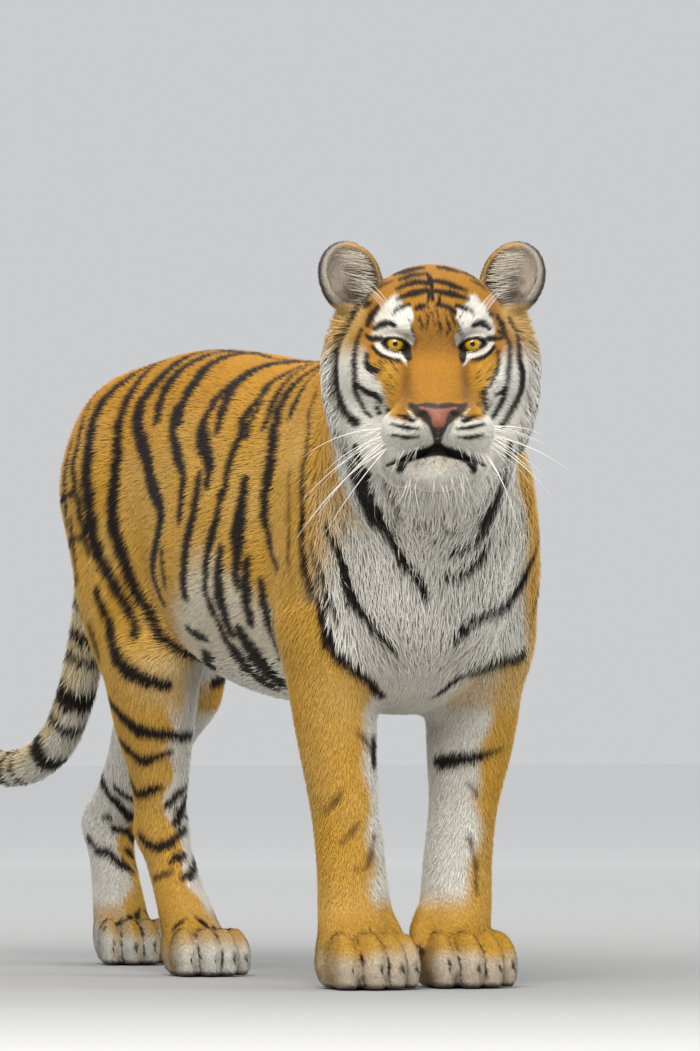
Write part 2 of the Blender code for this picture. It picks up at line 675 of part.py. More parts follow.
def trunk_cuts():
    """Thin boxes that part the trunk, the legs and the tail."""
    boxes = [
        slab((-0.020, -0.075, 0.780), (-0.20, -0.77, 0.61), (0, 0, 1), 0.24, 0.26),  # neck and chest
        slab((0, 0.200, 0.650), (0, 1, 0), (0, 0, 1), 0.26, 0.34),  # chest and belly
        slab((0, FLANK_Y, 0.700), (0, 1, 0), (0, 0, 1), 0.26, 0.34),  # belly and hindquarters
        slab((0.004, 1.078, 0.734), (0, 0.56, -0.83), (0, 0, 1), 0.07, 0.062),  # tail
        slab((0.001, 1.163, 0.485), (0, 0.24, -0.97), (0, 1, 0), 0.045, 0.060),
        slab((-0.026, 1.450, 0.303), (0, 1, 0), (0, 0, 1), 0.06, 0.06),
        slab((0.000, 0.820, (THIGH_Z + 0.28) / 2), (1, 0, 0), (0, 0, 1), 0.280, (THIGH_Z - 0.28) / 2),  # between the thighs
        slab((-0.130, 0.822, THIGH_Z), (0, 0, 1), (0, 1, 0), 0.13, 0.278),  # hips
        slab((0.130, (GROIN_Y + 1.10) / 2, THIGH_Z), (0, 0, 1), (0, 1, 0), 0.13, (1.10 - GROIN_Y) / 2),
        slab((0.130, GROIN_Y, (THIGH_Z + 0.28) / 2), (0, 1, 0), (0, 0, 1), 0.13, (THIGH_Z - 0.28) / 2),
        slab((-0.110, 0.675, 0.395), (0, 0.20, -0.98), (0, 1, 0), 0.10, 0.16),  # knees
        slab((0.086, 1.040, 0.395), (-0.03, 0.76, -0.65), (0, 0, 1), 0.075, 0.12),
    ]
    for side in (RIGHT, LEFT):
        inner, outer = FORE_LEGS[side]["inner"], side * 0.30
        middle, half = (inner + outer) / 2, abs(outer - inner) / 2
        across, reach = (ARMPIT_Y - 0.26) / 2, (ARMPIT_Y + 0.26) / 2
        height, rise = (ARM_Z + 0.28) / 2, (ARM_Z - 0.28) / 2
        boxes.append(slab((middle, across, ARM_Z), (0, 0, 1), (0, 1, 0), half, reach))  # top of the foreleg
        boxes.append(slab((inner, across, height), (1, 0, 0), (0, 0, 1), reach, rise))  # its inner side
        boxes.append(slab((middle, ARMPIT_Y, height), (0, 1, 0), (0, 0, 1), half, rise))  # behind the elbow
        wrist, hock = FORE_LEGS[side]["wrist"], HIND_LEGS[side]["hock"]
        boxes.append(slab((wrist[0], wrist[1], WRIST_Z), (0, 0, 1), (0, 1, 0), 0.085, 0.12))
        boxes.append(slab((hock[0], hock[1], HOCK_Z), (0, 0, 1), (0, 1, 0), 0.065, 0.10))
    return boxes


def jaw_cut():
    """A thin curved sheet from the gap between the lips back past their corners, then down through the throat."""
    rows = []
    for x in (-0.20, -0.060, -0.030, 0.0, 0.030, 0.060, 0.20):
        drop = min(abs(x) / 0.030, 1.0) * 0.008 + min(max(abs(x) - 0.030, 0.0) / 0.020, 1.0) * 0.010
        lip = -0.146 - drop
        rows.append([(x, -0.20, lip), (x, -0.110, lip), (x, -0.060, min(lip, -0.162)), (x, -0.034, -0.172),
                     (x, 0.004, -0.190), (x, 0.030, -0.230), (x, 0.036, -0.300)])
    corners = [in_head(x, y - k * CUT / 2, z - k * CUT / 2) for k in (-1, 1) for row in rows for x, y, z in row]
    count, long = len(rows), len(rows[0])
    faces = []
    for i in range(count - 1):
        for j in range(long - 1):
            here = i * long + j
            for tri in ((here, here + long, here + long + 1), (here, here + long + 1, here + 1)):
                faces += [tri, tuple(count * long + n for n in reversed(tri))]
    rim = ([i * long for i in range(count)] + [(count - 1) * long + j for j in range(1, long)]
           + [i * long + long - 1 for i in range(count - 2, -1, -1)] + list(range(long - 2, 0, -1)))
    for a, b in zip(rim, rim[1:] + rim[:1]):
        faces.append((b, a, count * long + a, count * long + b))
    return outward(mesh_object("jaw_cut", corners, faces))


def outward(obj):
    shape = bmesh.new()
    shape.from_mesh(obj.data)
    bmesh.ops.recalc_face_normals(shape, faces=shape.faces)
    shape.to_mesh(obj.data)
    shape.free()
    return obj


def nose_block(grow):
    """The space that the nose's leather fills, seen from the front: wide over the nostrils, narrow below them."""
    outline = [(-0.038, -0.086), (-0.036, -0.104), (-0.017, -0.121), (0.0, -0.125),
               (0.017, -0.121), (0.036, -0.104), (0.038, -0.086), (0.018, -0.082), (-0.018, -0.082)]
    middle = Vector((0, -0.102))
    spread = [middle + (Vector(p) - middle) * (1 + grow / 0.025) for p in outline]
    corners = [in_head(x, y, z) for y in (-0.18, -0.125 + grow) for x, z in spread]
    count = len(outline)
    faces = [tuple(range(count)), tuple(range(2 * count - 1, count - 1, -1))]
    faces += [(i, count + i, count + (i + 1) % count, (i + 1) % count) for i in range(count)]
    return outward(mesh_object("nose_block", corners, faces))


def eyeball(side, radius):
    shape = bmesh.new()
    bmesh.ops.create_icosphere(shape, subdivisions=3, radius=radius)
    made = mesh_object("eye_left" if side == LEFT else "eye_right", [], [])
    bmesh.ops.translate(shape, vec=in_head(side * EYE_X, EYE_Y, EYE_Z), verts=shape.verts)
    shape.to_mesh(made.data)
    shape.free()
    return made


def ear_cut(side):
    """Across the ear's root, from the crease on the crown to the one over the ruff."""
    box = slab(in_head(side * 0.1055, 0.076, 0.078), head_direction(side * 0.65, 0, 0.76), head_direction(0, 0, 1),
               0.048, 0.062)
    return mesh_object("ear_cut", *box)


def head_nodes():
    skull = head_mesh()
    for side in (RIGHT, LEFT):
        combined(skull, eyeball(side, EYE_R + CUT), "DIFFERENCE")
        combined(skull, ear_cut(side), "DIFFERENCE")
    combined(skull, jaw_cut(), "DIFFERENCE")
    pad = mesh_object("nose", [], [])
    pad.data = skull.data.copy()
    combined(pad, nose_block(0.0), "INTERSECT")
    combined(skull, nose_block(CUT), "DIFFERENCE")
    found = named_pieces(skull, {
        "head": in_head(0, 0.015, -0.05),
        "lower_jaw": in_head(0, -0.05, -0.18),
        "ear_right": in_head(-0.12, 0.07, 0.10),
        "ear_left": in_head(0.12, 0.07, 0.10),
    })
    found["nose"] = pad
    for side in (RIGHT, LEFT):
        ball_of_eye = eyeball(side, EYE_R)
        found[ball_of_eye.name] = ball_of_eye
    return found


def trunk_nodes():
    trunk = trunk_mesh()
    cuts = None
    for box in trunk_cuts():
        cut = mesh_object("cuts", *box)
        cuts = cut if cuts is None else combined(cuts, cut, "UNION")
    combined(trunk, cuts, "DIFFERENCE")
    anchors = {
        "neck": (-0.05, -0.125, 0.79), "chest": (0.0, 0.00, 0.66), "belly": (0.0, 0.37, 0.66),
        "hindquarters": (0.0, 0.80, 0.75), "tail_root": (0.0, 1.12, 0.62), "tail_middle": (-0.01, 1.29, 0.38),
        "tail_tip": (-0.03, 1.57, 0.38),
    }
    for side, word in ((RIGHT, "right"), (LEFT, "left")):
        elbow, wrist, paw = (Vector(FORE_LEGS[side][key]) for key in ("elbow", "wrist", "paw"))
        anchors["foreleg_" + word] = elbow.lerp(wrist, 0.6)
        anchors["forepaw_" + word] = paw + Vector((0, 0, 0.06))
        knee, hock, paw = (Vector(HIND_LEGS[side][key]) for key in ("knee", "hock", "paw"))
        anchors["thigh_" + word] = knee.lerp(Vector((side * 0.09, 0.86, 0.47)), 0.6)
        anchors["shank_" + word] = knee.lerp(hock, 0.6)
        anchors["hindpaw_" + word] = paw + Vector((0, 0.025, 0.09))
    return named_pieces(trunk, anchors)


# ---------------------------------------------------------------- claws

CLAW_LENGTH, CLAW_RADIUS = 0.024, 0.0042
CLAW_HIDDEN = 0.5  # share of a claw inside its toe


def surface_point(obj, inside, direction):
    """Where a line from inside the object first leaves it in this direction."""
    tree = BVHTree.FromPolygons([v.co for v in obj.data.vertices], [p.vertices for p in obj.data.polygons])
    return tree.ray_cast(inside, direction)[0]


def claw(name, root, direction, length, radius):
    """A short horn cone, bent down towards its point."""
    along = Vector(direction).normalized()
    across = along.cross(Vector((0, 0, 1))).normalized()
    down = along.cross(across)
    if down.z > 0:
        down.negate()
    sides, rings = 6, 3
    points = []
    for i in range(rings):
        t = i / rings
        middle = Vector(root) + along * length * t + down * length * 0.28 * t * t
        r = radius * (1 - t) ** 0.7
        points += [middle + across * r * 0.7 * math.cos(a) + down * r * math.sin(a)
                   for a in (2 * math.pi * k / sides for k in range(sides))]
    points.append(Vector(root) + along * length + down * length * 0.28)
    return outward(mesh_object(name, points, cone_faces(sides, rings)))


def claw_places():
    """Name, inner point and direction of every claw: one at the front of each toe, and the forefeet's dew claws."""
    places = []
    for side, word in ((RIGHT, "right"), (LEFT, "left")):
        for legs, kind, width, length, height in ((FORE_LEGS, "fore", *FORE_PAW), (HIND_LEGS, "hind", *HIND_PAW)):
            leg = legs[side]
            spin = Matrix.Rotation(math.radians(leg["turn"]), 3, "Z")
            for number, (toe, reach) in enumerate(TOES):
                place = Vector((toe * width * 0.255, -length * (reach + 0.050), height * 0.52))
                fan = Matrix.Rotation(math.radians(toe * 7.0), 3, "Z")
                inside = Vector(leg["paw"]) + spin @ place
                places.append((f"claw_{kind}_{word}_{number + 1}", inside, spin @ fan @ Vector((0, -0.90, -0.44))))
        px, wy = FORE_LEGS[side]["paw"][0], FORE_LEGS[side]["wrist"][1]
        dew = FORE_LEGS[side]["dew"]
        inside = Vector((px - side * dew, wy - 0.046, 0.062))
        places.append((f"claw_dew_{word}", inside, Vector((-side * 0.30, -0.62, -0.70))))
    return places


# ---------------------------------------------------------------- whiskers

WHISKER_RADIUS = 0.0009
WHISKER_SIDES, WHISKER_STEPS = 3, 4
PAD = (0.044, -0.070, -0.122)  # inside a whisker pad
PAD_Y, TIP_Y = -0.122, -0.060  # a whisker leans forward first, then sweeps back
# (x, z) of the middle and the tip of the longest whiskers on each side, in the head's frame
WHISKERS = {
    RIGHT: [((-0.120, -0.111), (-0.184, -0.158)), ((-0.131, -0.152), (-0.186, -0.221)),
            ((-0.131, -0.178), (-0.199, -0.279)), ((-0.104, -0.178), (-0.156, -0.268))],
    LEFT: [((0.110, -0.107), (0.153, -0.131)), ((0.130, -0.136), (0.191, -0.182)),
           ((0.120, -0.160), (0.164, -0.220)), ((0.096, -0.182), (0.117, -0.274))],
}


def whisker(name, root, middle, tip):
    """A bristle that bends evenly from root to tip, where it ends in a point."""
    points = []
    for i in range(WHISKER_STEPS):
        t = i / WHISKER_STEPS
        along = ((middle - root) * (1 - t) + (tip - middle) * t).normalized()
        across = along.cross(Vector(UP)).normalized()
        ring = (across, along.cross(across))
        at = root * (1 - t) ** 2 + middle * 2 * t * (1 - t) + tip * t * t
        points += [at + (ring[0] * math.cos(a) + ring[1] * math.sin(a)) * WHISKER_RADIUS * (1 - t)
                   for a in (2 * math.pi * k / WHISKER_SIDES for k in range(WHISKER_SIDES))]
    points.append(tip)
    return outward(mesh_object(name, points, cone_faces(WHISKER_SIDES, WHISKER_STEPS)))


def cone_faces(sides, rings):
    """A closed cone's faces: rings of corners from its base on, and its point last."""
    faces = [tuple(range(sides))]
    for i in range(rings - 1):
        faces += [(i * sides + k, i * sides + (k + 1) % sides, (i + 1) * sides + (k + 1) % sides, (i + 1) * sides + k)
                  for k in range(sides)]
    last = (rings - 1) * sides
    return faces + [(last + k, last + (k + 1) % sides, rings * sides) for k in range(sides)]


def whiskers(head):
    """The longest whiskers, each standing on the skin of its pad."""
    found = {}
    for side, word in ((RIGHT, "right"), (LEFT, "left")):
        for number, ((mx, mz), (tx, tz)) in enumerate(WHISKERS[side]):
            inside = in_head(side * PAD[0], PAD[1], PAD[2])
            middle, tip = in_head(mx, PAD_Y, mz), in_head(tx, TIP_Y, tz)
            direction = (middle - inside).normalized()
            root = surface_point(head, inside, direction) + direction * (WHISKER_RADIUS + CUT)
            name = f"whisker_{word}_{number + 1}"
            found[name] = whisker(name, root, middle, tip)
    return found


# ---------------------------------------------------------------- colours

ORANGE, DEEP_ORANGE, CREAM, WHITE = (0.60, 0.29, 0.065), (0.52, 0.21, 0.030), (0.72, 0.60, 0.42), (0.78, 0.74, 0.66)
COLOURS = {
    "head": ORANGE, "lower_jaw": WHITE, "nose": (0.58, 0.17, 0.10), "eye": (0.62, 0.40, 0.01), "ear": (0.10, 0.07, 0.05),
    "neck": DEEP_ORANGE, "chest": DEEP_ORANGE, "belly": ORANGE, "hindquarters": ORANGE, "tail": CREAM,
    "foreleg": DEEP_ORANGE, "forepaw": ORANGE, "thigh": ORANGE, "shank": ORANGE, "hindpaw": CREAM,
    "claw": (0.045, 0.035, 0.030), "whisker": WHITE,
}

ROUGHNESS = {"eye": 0.05, "claw": 0.35, "nose": 0.45, "whisker": 0.4}
COAT_ROUGHNESS = 0.85


def paint(obj):
    kind = next(key for key in COLOURS if obj.name.startswith(key))
    material = bpy.data.materials.new(obj.name)
    material.use_nodes = True
    shader = material.node_tree.nodes["Principled BSDF"]
    shader.inputs["Base Color"].default_value = (*COLOURS[kind], 1.0)
    shader.inputs["Roughness"].default_value = ROUGHNESS.get(kind, COAT_ROUGHNESS)
    obj.data.materials.clear()
    obj.data.materials.append(material)


# ---------------------------------------------------------------- the whole animal


def main():
    for obj in list(bpy.data.objects):
        bpy.data.objects.remove(obj)
    nodes = head_nodes()
    nodes.update(whiskers(nodes["head"]))
    nodes.update(trunk_nodes())
    for name, inside, direction in claw_places():
        paw = nodes[("hindpaw_" if "hind" in name else "forepaw_") + ("left" if "left" in name else "right")]
        direction = direction.normalized()
        root = surface_point(paw, inside, direction) - direction * CLAW_LENGTH * CLAW_HIDDEN
        combined(paw, claw("socket", root - direction * CUT, direction, CLAW_LENGTH + 3 * CUT, CLAW_RADIUS + CUT),
                 "DIFFERENCE")
        nodes[name] = claw(name, root, direction, CLAW_LENGTH, CLAW_RADIUS)
    corners = np.array([v.co for obj in nodes.values() for v in obj.data.vertices])
    low, high = corners.min(0), corners.max(0)
    middle = Matrix.Translation((-(low[0] + high[0]) / 2, -(low[1] + high[1]) / 2, -low[2]))
    for name, obj in nodes.items():
        obj.name = name
        obj.data.transform(middle)
        paint(obj)


if __name__ == "__main__":
    main()
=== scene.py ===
"""A life-size Bengal tiger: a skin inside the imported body, and a coat of solid tufts out to its surface.

The eyes, claws, whiskers and single hairs are pieces of their own. The markings are strokes in metres, put on
the skin from the side, the front, the back or above, and the skin and the coat read the same ones. Everything
is made in the tiger's own frame (origin between the fore feet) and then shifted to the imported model's.
"""

import math

import bpy
import numpy as np
from mathutils import Matrix, Vector
from mathutils.bvhtree import BVHTree


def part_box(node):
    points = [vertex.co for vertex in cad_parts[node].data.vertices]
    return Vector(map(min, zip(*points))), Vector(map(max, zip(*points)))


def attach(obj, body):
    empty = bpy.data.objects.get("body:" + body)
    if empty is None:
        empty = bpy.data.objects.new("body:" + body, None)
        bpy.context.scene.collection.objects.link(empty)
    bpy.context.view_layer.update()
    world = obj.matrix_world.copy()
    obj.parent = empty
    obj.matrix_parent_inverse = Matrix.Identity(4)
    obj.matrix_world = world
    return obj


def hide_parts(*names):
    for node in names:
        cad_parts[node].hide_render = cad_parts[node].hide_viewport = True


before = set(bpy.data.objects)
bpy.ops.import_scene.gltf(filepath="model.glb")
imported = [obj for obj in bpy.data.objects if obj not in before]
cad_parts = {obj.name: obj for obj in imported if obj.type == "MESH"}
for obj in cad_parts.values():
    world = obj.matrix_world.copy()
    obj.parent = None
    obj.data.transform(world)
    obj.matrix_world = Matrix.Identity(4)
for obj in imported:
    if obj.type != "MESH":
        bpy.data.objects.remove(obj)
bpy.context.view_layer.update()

RIGHT, LEFT = -1, 1
UP = (0, 0, 1)
rng = np.random.default_rng(7)

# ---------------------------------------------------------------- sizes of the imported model

# In the tiger's own frame: x to its left, y back and z up.

WITHERS_Z = 0.925  # height of the back over the shoulders, to the tips of the coat
CROUP_Z = 0.937  # height of the back over the hips
TRUNK_HALF_WIDTH = 0.186

HEAD_ORIGIN = (-0.158, -0.390, 0.900)  # midway between the eyeballs
HEAD_YAW = 23.5  # degrees to the tiger's right
HEAD_PITCH = 0.0  # degrees, nose up
EYE_X, EYE_Y, EYE_Z = 0.0535, 0.004, 0.0
EYE_R = 0.0185

LID = 0.0035  # thickness of the eyelids

# Each leg's joints, in the body's frame: the shoulder or hip first, the middle of the paw last.
FORE_LEGS = {
    RIGHT: {"elbow": (-0.120, 0.045, 0.520), "wrist": (-0.098, -0.008, 0.150), "paw": (-0.108, -0.050, 0.0),
            "turn": 4, "spread": 0.000, "bulk": 1.0, "dew": 0.056, "inner": -0.050},
    LEFT: {"elbow": (0.128, 0.040, 0.510), "wrist": (0.067, -0.004, 0.150), "paw": (0.050, -0.042, 0.0),
           "turn": 3, "spread": -0.006, "bulk": 1.13, "dew": 0.066, "inner": 0.024},
}
HIND_LEGS = {
    RIGHT: {"hip": (-0.078, 0.845, 0.700), "knee": (-0.116, 0.640, 0.460), "hock": (-0.084, 0.690, 0.215),
            "paw": (-0.070, 0.580, 0.0), "turn": 2},
    LEFT: {"hip": (0.084, 0.860, 0.700), "knee": (0.088, 1.005, 0.430), "hock": (0.070, 1.235, 0.215),
           "paw": (0.062, 1.135, 0.0), "turn": -6},
}
FORE_PAW, HIND_PAW = (0.126, 0.170, 0.080), (0.112, 0.150, 0.070)  # width, length and height
# Each toe's place across the paw and its reach ahead of the paw's middle
TOES = ((-1.5, 0.24), (-0.5, 0.36), (0.5, 0.36), (1.5, 0.24))

# The tail: x, y, z of its middle and the radius to the tips of its coat
TAIL = [
    (0.004, 0.940, 0.835, 0.052),
    (0.004, 1.010, 0.805, 0.045),
    (0.004, 1.080, 0.730, 0.038),
    (0.004, 1.125, 0.630, 0.034),
    (0.002, 1.153, 0.520, 0.032),
    (-0.006, 1.185, 0.420, 0.032),
    (-0.012, 1.245, 0.345, 0.032),
    (-0.018, 1.345, 0.307, 0.031),
    (-0.026, 1.450, 0.303, 0.029),
    (-0.034, 1.550, 0.335, 0.026),
    (-0.040, 1.630, 0.400, 0.021),
    (-0.044, 1.670, 0.470, 0.012),
]

# ---------------------------------------------------------------- masses and their smooth union


def smooth_min(a, b, blend):
    share = np.clip(0.5 + 0.5 * (b - a) / blend, 0.0, 1.0)
    return b + (a - b) * share - blend * share * (1.0 - share)


def spline(rows, steps):
    """Catmull-Rom through rows of numbers, with steps pieces between neighbours."""
    rows = np.asarray(rows, float)
    ends = np.vstack([2 * rows[0] - rows[1], rows, 2 * rows[-1] - rows[-2]])
    made = []
    for i in range(1, len(ends) - 2):
        before, start, end, after = ends[i - 1:i + 3]
        for t in np.arange(steps) / steps:
            made.append(0.5 * (2 * start + (end - before) * t
                               + (2 * before - 5 * start + 4 * end - after) * t ** 2
                               + (3 * start - before - 3 * end + after) * t ** 3))
    made.append(ends[-2])
    return np.array(made)


def turned(degrees, axis):
    return np.array(Matrix.Rotation(math.radians(degrees), 3, axis))


def ball(centre, radii, turn=None):
    """An ellipsoid. turn is a 3 by 3 matrix whose columns are its own axes."""
    centre, radii = np.array(centre, float), np.array(radii, float)
    axes = np.eye(3) if turn is None else np.asarray(turn, float)

    def depth(points):
        q = (points - centre) @ axes
        near = np.sqrt(((q / radii) ** 2).sum(1)) + 1e-9
        slope = np.sqrt(((q / radii ** 2) ** 2).sum(1)) + 1e-9
        return near * (near - 1.0) / slope

    return depth, centre, radii.max()


def loft(stations, front=(0, -1, 0), power=2.0, steps=4, cap=1.0):
    """A closed tube through stations of (x, y, z, side, fore, aft): its half-width sideways, and its reach
    from the axis towards front and away from it."""
    rows = spline(stations, steps)
    centres, radii = rows[:, :3], np.maximum(rows[:, 3:6], 1e-3)
    along = np.gradient(centres, axis=0)
    along /= np.linalg.norm(along, axis=1)[:, None]
    front = np.broadcast_to(np.asarray(front, float), along.shape)
    fore = front - (front * along).sum(1)[:, None] * along
    fore = fore / np.linalg.norm(fore, axis=1)[:, None]
    side = np.cross(along, fore)

    def depth(points):
        best = np.full(len(points), np.inf)
        where = np.zeros(len(points))
        for i in range(len(centres) - 1):
            a, ab = centres[i], centres[i + 1] - centres[i]
            h = np.clip((points - a) @ ab / (ab @ ab), 0.0, 1.0)
            gap = ((points - a - h[:, None] * ab) ** 2).sum(1)
            closer = gap < best
            best[closer] = gap[closer]
            where[closer] = i + h[closer]
        i = np.minimum(where.astype(int), len(centres) - 2)
        t = (where - i)[:, None]

        def at(values):
            return values[i] * (1 - t) + values[i + 1] * t

        q, size = points - at(centres), at(radii)
        across, through = (q * at(side)).sum(1), (q * at(fore)).sum(1)
        endwise = (q * at(along)).sum(1)
        reach = np.where(through > 0, size[:, 1], size[:, 2])
        tip = cap * np.minimum(size[:, 0], reach)
        near = (np.abs(across / size[:, 0]) ** power + np.abs(through / reach) ** power
                + np.abs(endwise / tip) ** power) ** (1 / power) + 1e-9
        return np.sqrt((q ** 2).sum(1)) * (1.0 - 1.0 / near)

    middle = (centres.min(0) + centres.max(0)) / 2
    return depth, middle, np.linalg.norm(centres - middle, axis=1).max() + radii.max()


def barrel(sections, power, cap):
    """A closed body along Y through (y, x, top, bottom, half-width, height of the widest place)."""
    rows = spline(sections, 6)

    def depth(points):
        y = np.clip(points[:, 1], rows[0, 0], rows[-1, 0])
        x, top, bottom, half, middle = (np.interp(y, rows[:, 0], rows[:, i]) for i in range(1, 6))
        q = points - np.stack([x, y, middle], 1)
        reach = np.where(q[:, 2] > 0, top - middle, middle - bottom)
        tip = cap * np.minimum(half, reach)
        near = (np.abs(q[:, 0] / half) ** power + np.abs(q[:, 2] / reach) ** power
                + np.abs(q[:, 1] / tip) ** power) ** (1 / power) + 1e-9
        return np.sqrt((q ** 2).sum(1)) * (1.0 - 1.0 / near)

    low = np.array([-rows[:, 4].max(), rows[0, 0], rows[:, 3].min()])
    high = np.array([rows[:, 4].max(), rows[-1, 0], rows[:, 2].max()])
    return depth, (low + high) / 2, np.linalg.norm(high - low) / 2


BAND = 0.09  # a mass is worked out only within this distance


class Masses:
    """Masses joined one by one, each with its own blend. A hollow is taken away from those before it."""

    def __init__(self, place=None):
        self.rows = []
        self.place = place  # (origin, axes) of the frame that the masses are given in

    def add(self, mass, blend=0.03):
        self.rows.append((mass, blend, False))

    def hollow(self, mass, blend=0.01):
        self.rows.append((mass, blend, True))

    def pair(self, centre, radii, blend=0.03, turn=None, hollow=False):
        """The same ball on both sides."""
        for sign in (RIGHT, LEFT):
            flip = np.array([sign, 1.0, 1.0])
            axes = None if turn is None else (flip[:, None] * np.asarray(turn) * flip[None, :])
            self.rows.append((ball(np.array(centre) * flip, radii, axes), blend, hollow))

    def depth(self, points):
        if self.place is not None:
            origin, axes = self.place
            points = (points - origin) @ axes
        found = np.full(len(points), 2 * BAND)
        for (depth, centre, reach), blend, hollow in self.rows:
            near = ((points - centre) ** 2).sum(1) < (reach + BAND) ** 2
            if not near.any():
                continue
            mine = depth(points[near])
            found[near] = (-smooth_min(-found[near], mine, blend) if hollow
                           else smooth_min(found[near], mine, blend))
        return found


# ---------------------------------------------------------------- trunk, neck and tail


def trunk_masses(body):
    # y, x, top, bottom, half-width, height of the widest place
    profile = [
        (-0.150, -0.030, 0.800, 0.490, 0.100, 0.630),
        (-0.080, -0.016, 0.880, 0.415, 0.130, 0.620),
        (0.010, -0.004, WITHERS_Z - 0.004, 0.388, 0.148, 0.600),
        (0.130, 0.004, WITHERS_Z - 0.008, 0.392, 0.168, 0.600),
        (0.270, 0.008, 0.906, 0.402, TRUNK_HALF_WIDTH, 0.610),
        (0.410, 0.010, 0.912, 0.411, TRUNK_HALF_WIDTH, 0.620),
        (0.540, 0.010, 0.927, 0.440, 0.172, 0.640),
        (0.650, 0.006, CROUP_Z, 0.488, 0.152, 0.680),
        (0.750, 0.002, 0.935, 0.540, 0.142, 0.710),
        (0.850, 0.000, 0.918, 0.585, 0.128, 0.730),
        (0.925, 0.000, 0.888, 0.630, 0.106, 0.740),
        (0.985, 0.000, 0.845, 0.680, 0.074, 0.745),
    ]
    body.add(barrel(profile, 2.25, 0.5), 0.02)
    # the breastbone and its bib of longer coat
    body.add(ball((-0.042, -0.135, 0.585), (0.082, 0.050, 0.120)), 0.06)


def neck_masses(body):
    stations = [
        (0.000, 0.060, 0.680, 0.130, 0.170, 0.170),
        (-0.022, -0.040, 0.730, 0.144, 0.176, 0.195),
        (-0.054, -0.130, 0.775, 0.138, 0.156, 0.190),
        (-0.090, -0.215, 0.815, 0.132, 0.148, 0.178),
    ]
    body.add(loft(stations, front=UP, cap=0.8), 0.06)


def tail_masses(body):
    body.add(loft([(x, y, z, r, r, r) for x, y, z, r in TAIL], front=UP), 0.03)


# ---------------------------------------------------------------- legs


def paw_masses(body, paw, turn, width, length, height):
    """Four toes fanned round the front of a low pad. The paw points along -Y, turned by turn degrees."""
    origin = Vector(paw)
    spin = Matrix.Rotation(math.radians(turn), 3, "Z")

    def at(x, y, z):
        return tuple(origin + spin @ Vector((x, y, z)))

    axes = np.array(spin)
    body.add(ball(at(0, 0.014, height * 0.42), (width * 0.43, length * 0.42, height * 0.62), axes), 0.02)
    for toe, reach in TOES:
        x = toe * width * 0.245
        lean = axes @ turned(toe * 7.0, "Z")
        knuckle = at(x, -length * (reach - 0.08), height * 0.50)
        body.add(ball(knuckle, (width * 0.148, length * 0.24, height * 0.52), lean), 0.014)
        tip = at(x * 1.04, -length * (reach + 0.05), height * 0.32)
        body.add(ball(tip, (width * 0.134, length * 0.14, height * 0.42), lean), 0.010)


def foreleg_masses(body, side, elbow, wrist, paw, turn, spread, bulk, dew, **_):
    """spread moves the point of the shoulder outwards; bulk thickens the upper forearm."""
    shoulder_top = (side * 0.060, 0.050, 0.850)
    shoulder = (side * (0.098 + spread), -0.070, 0.650)
    body.add(loft([
        (*shoulder_top, 0.050, 0.085, 0.085),
        (side * (0.092 + spread), -0.005, 0.745, 0.062, 0.100, 0.105),
        (*shoulder, 0.058, 0.070, 0.090),
    ]), 0.06)
    ex, ey, ez = elbow
    body.add(loft([
        (side * (0.106 + spread), 0.020, 0.710, 0.060, 0.105, 0.120),
        (ex, 0.020, 0.600, 0.062 * bulk, 0.100, 0.110),
        (ex, ey, ez - 0.010, 0.060 * bulk, 0.088, 0.086),
    ]), 0.05)
    wx, wy, wz = wrist
    px = paw[0]

    def between(t, side_r, fore, aft):
        return (ex + (wx - ex) * t, ey + (wy - ey) * t, ez + (wz - ez) * t, side_r, fore, aft)

    body.add(loft([
        between(0.00, 0.060 * bulk, 0.088, 0.086),
        between(0.20, 0.059 * bulk, 0.080, 0.080),
        between(0.45, 0.055 * bulk, 0.069, 0.070),
        between(0.70, 0.048, 0.057, 0.061),
        between(0.92, 0.049, 0.052, 0.059),
        (wx * 0.8 + px * 0.2, wy - 0.006, wz - 0.035, 0.052, 0.050, 0.056),
        (px, wy - 0.024, 0.062, 0.054, 0.050, 0.050),
    ], cap=0.5), 0.035)
    body.add(ball((wx, wy + 0.042, wz + 0.015), (0.020, 0.018, 0.028)), 0.02)  # carpal pad behind the wrist
    paw_masses(body, paw, turn, *FORE_PAW)
    inner = -side
    body.add(loft([
        (px + inner * 0.036, wy - 0.020, 0.105, 0.020, 0.020, 0.020),
        (px + inner * (0.024 + dew * 0.5), wy - 0.034, 0.080, 0.016, 0.018, 0.018),
        (px + inner * dew, wy - 0.046, 0.062, 0.012, 0.013, 0.013),
    ]), 0.012)  # the dew claw's toe


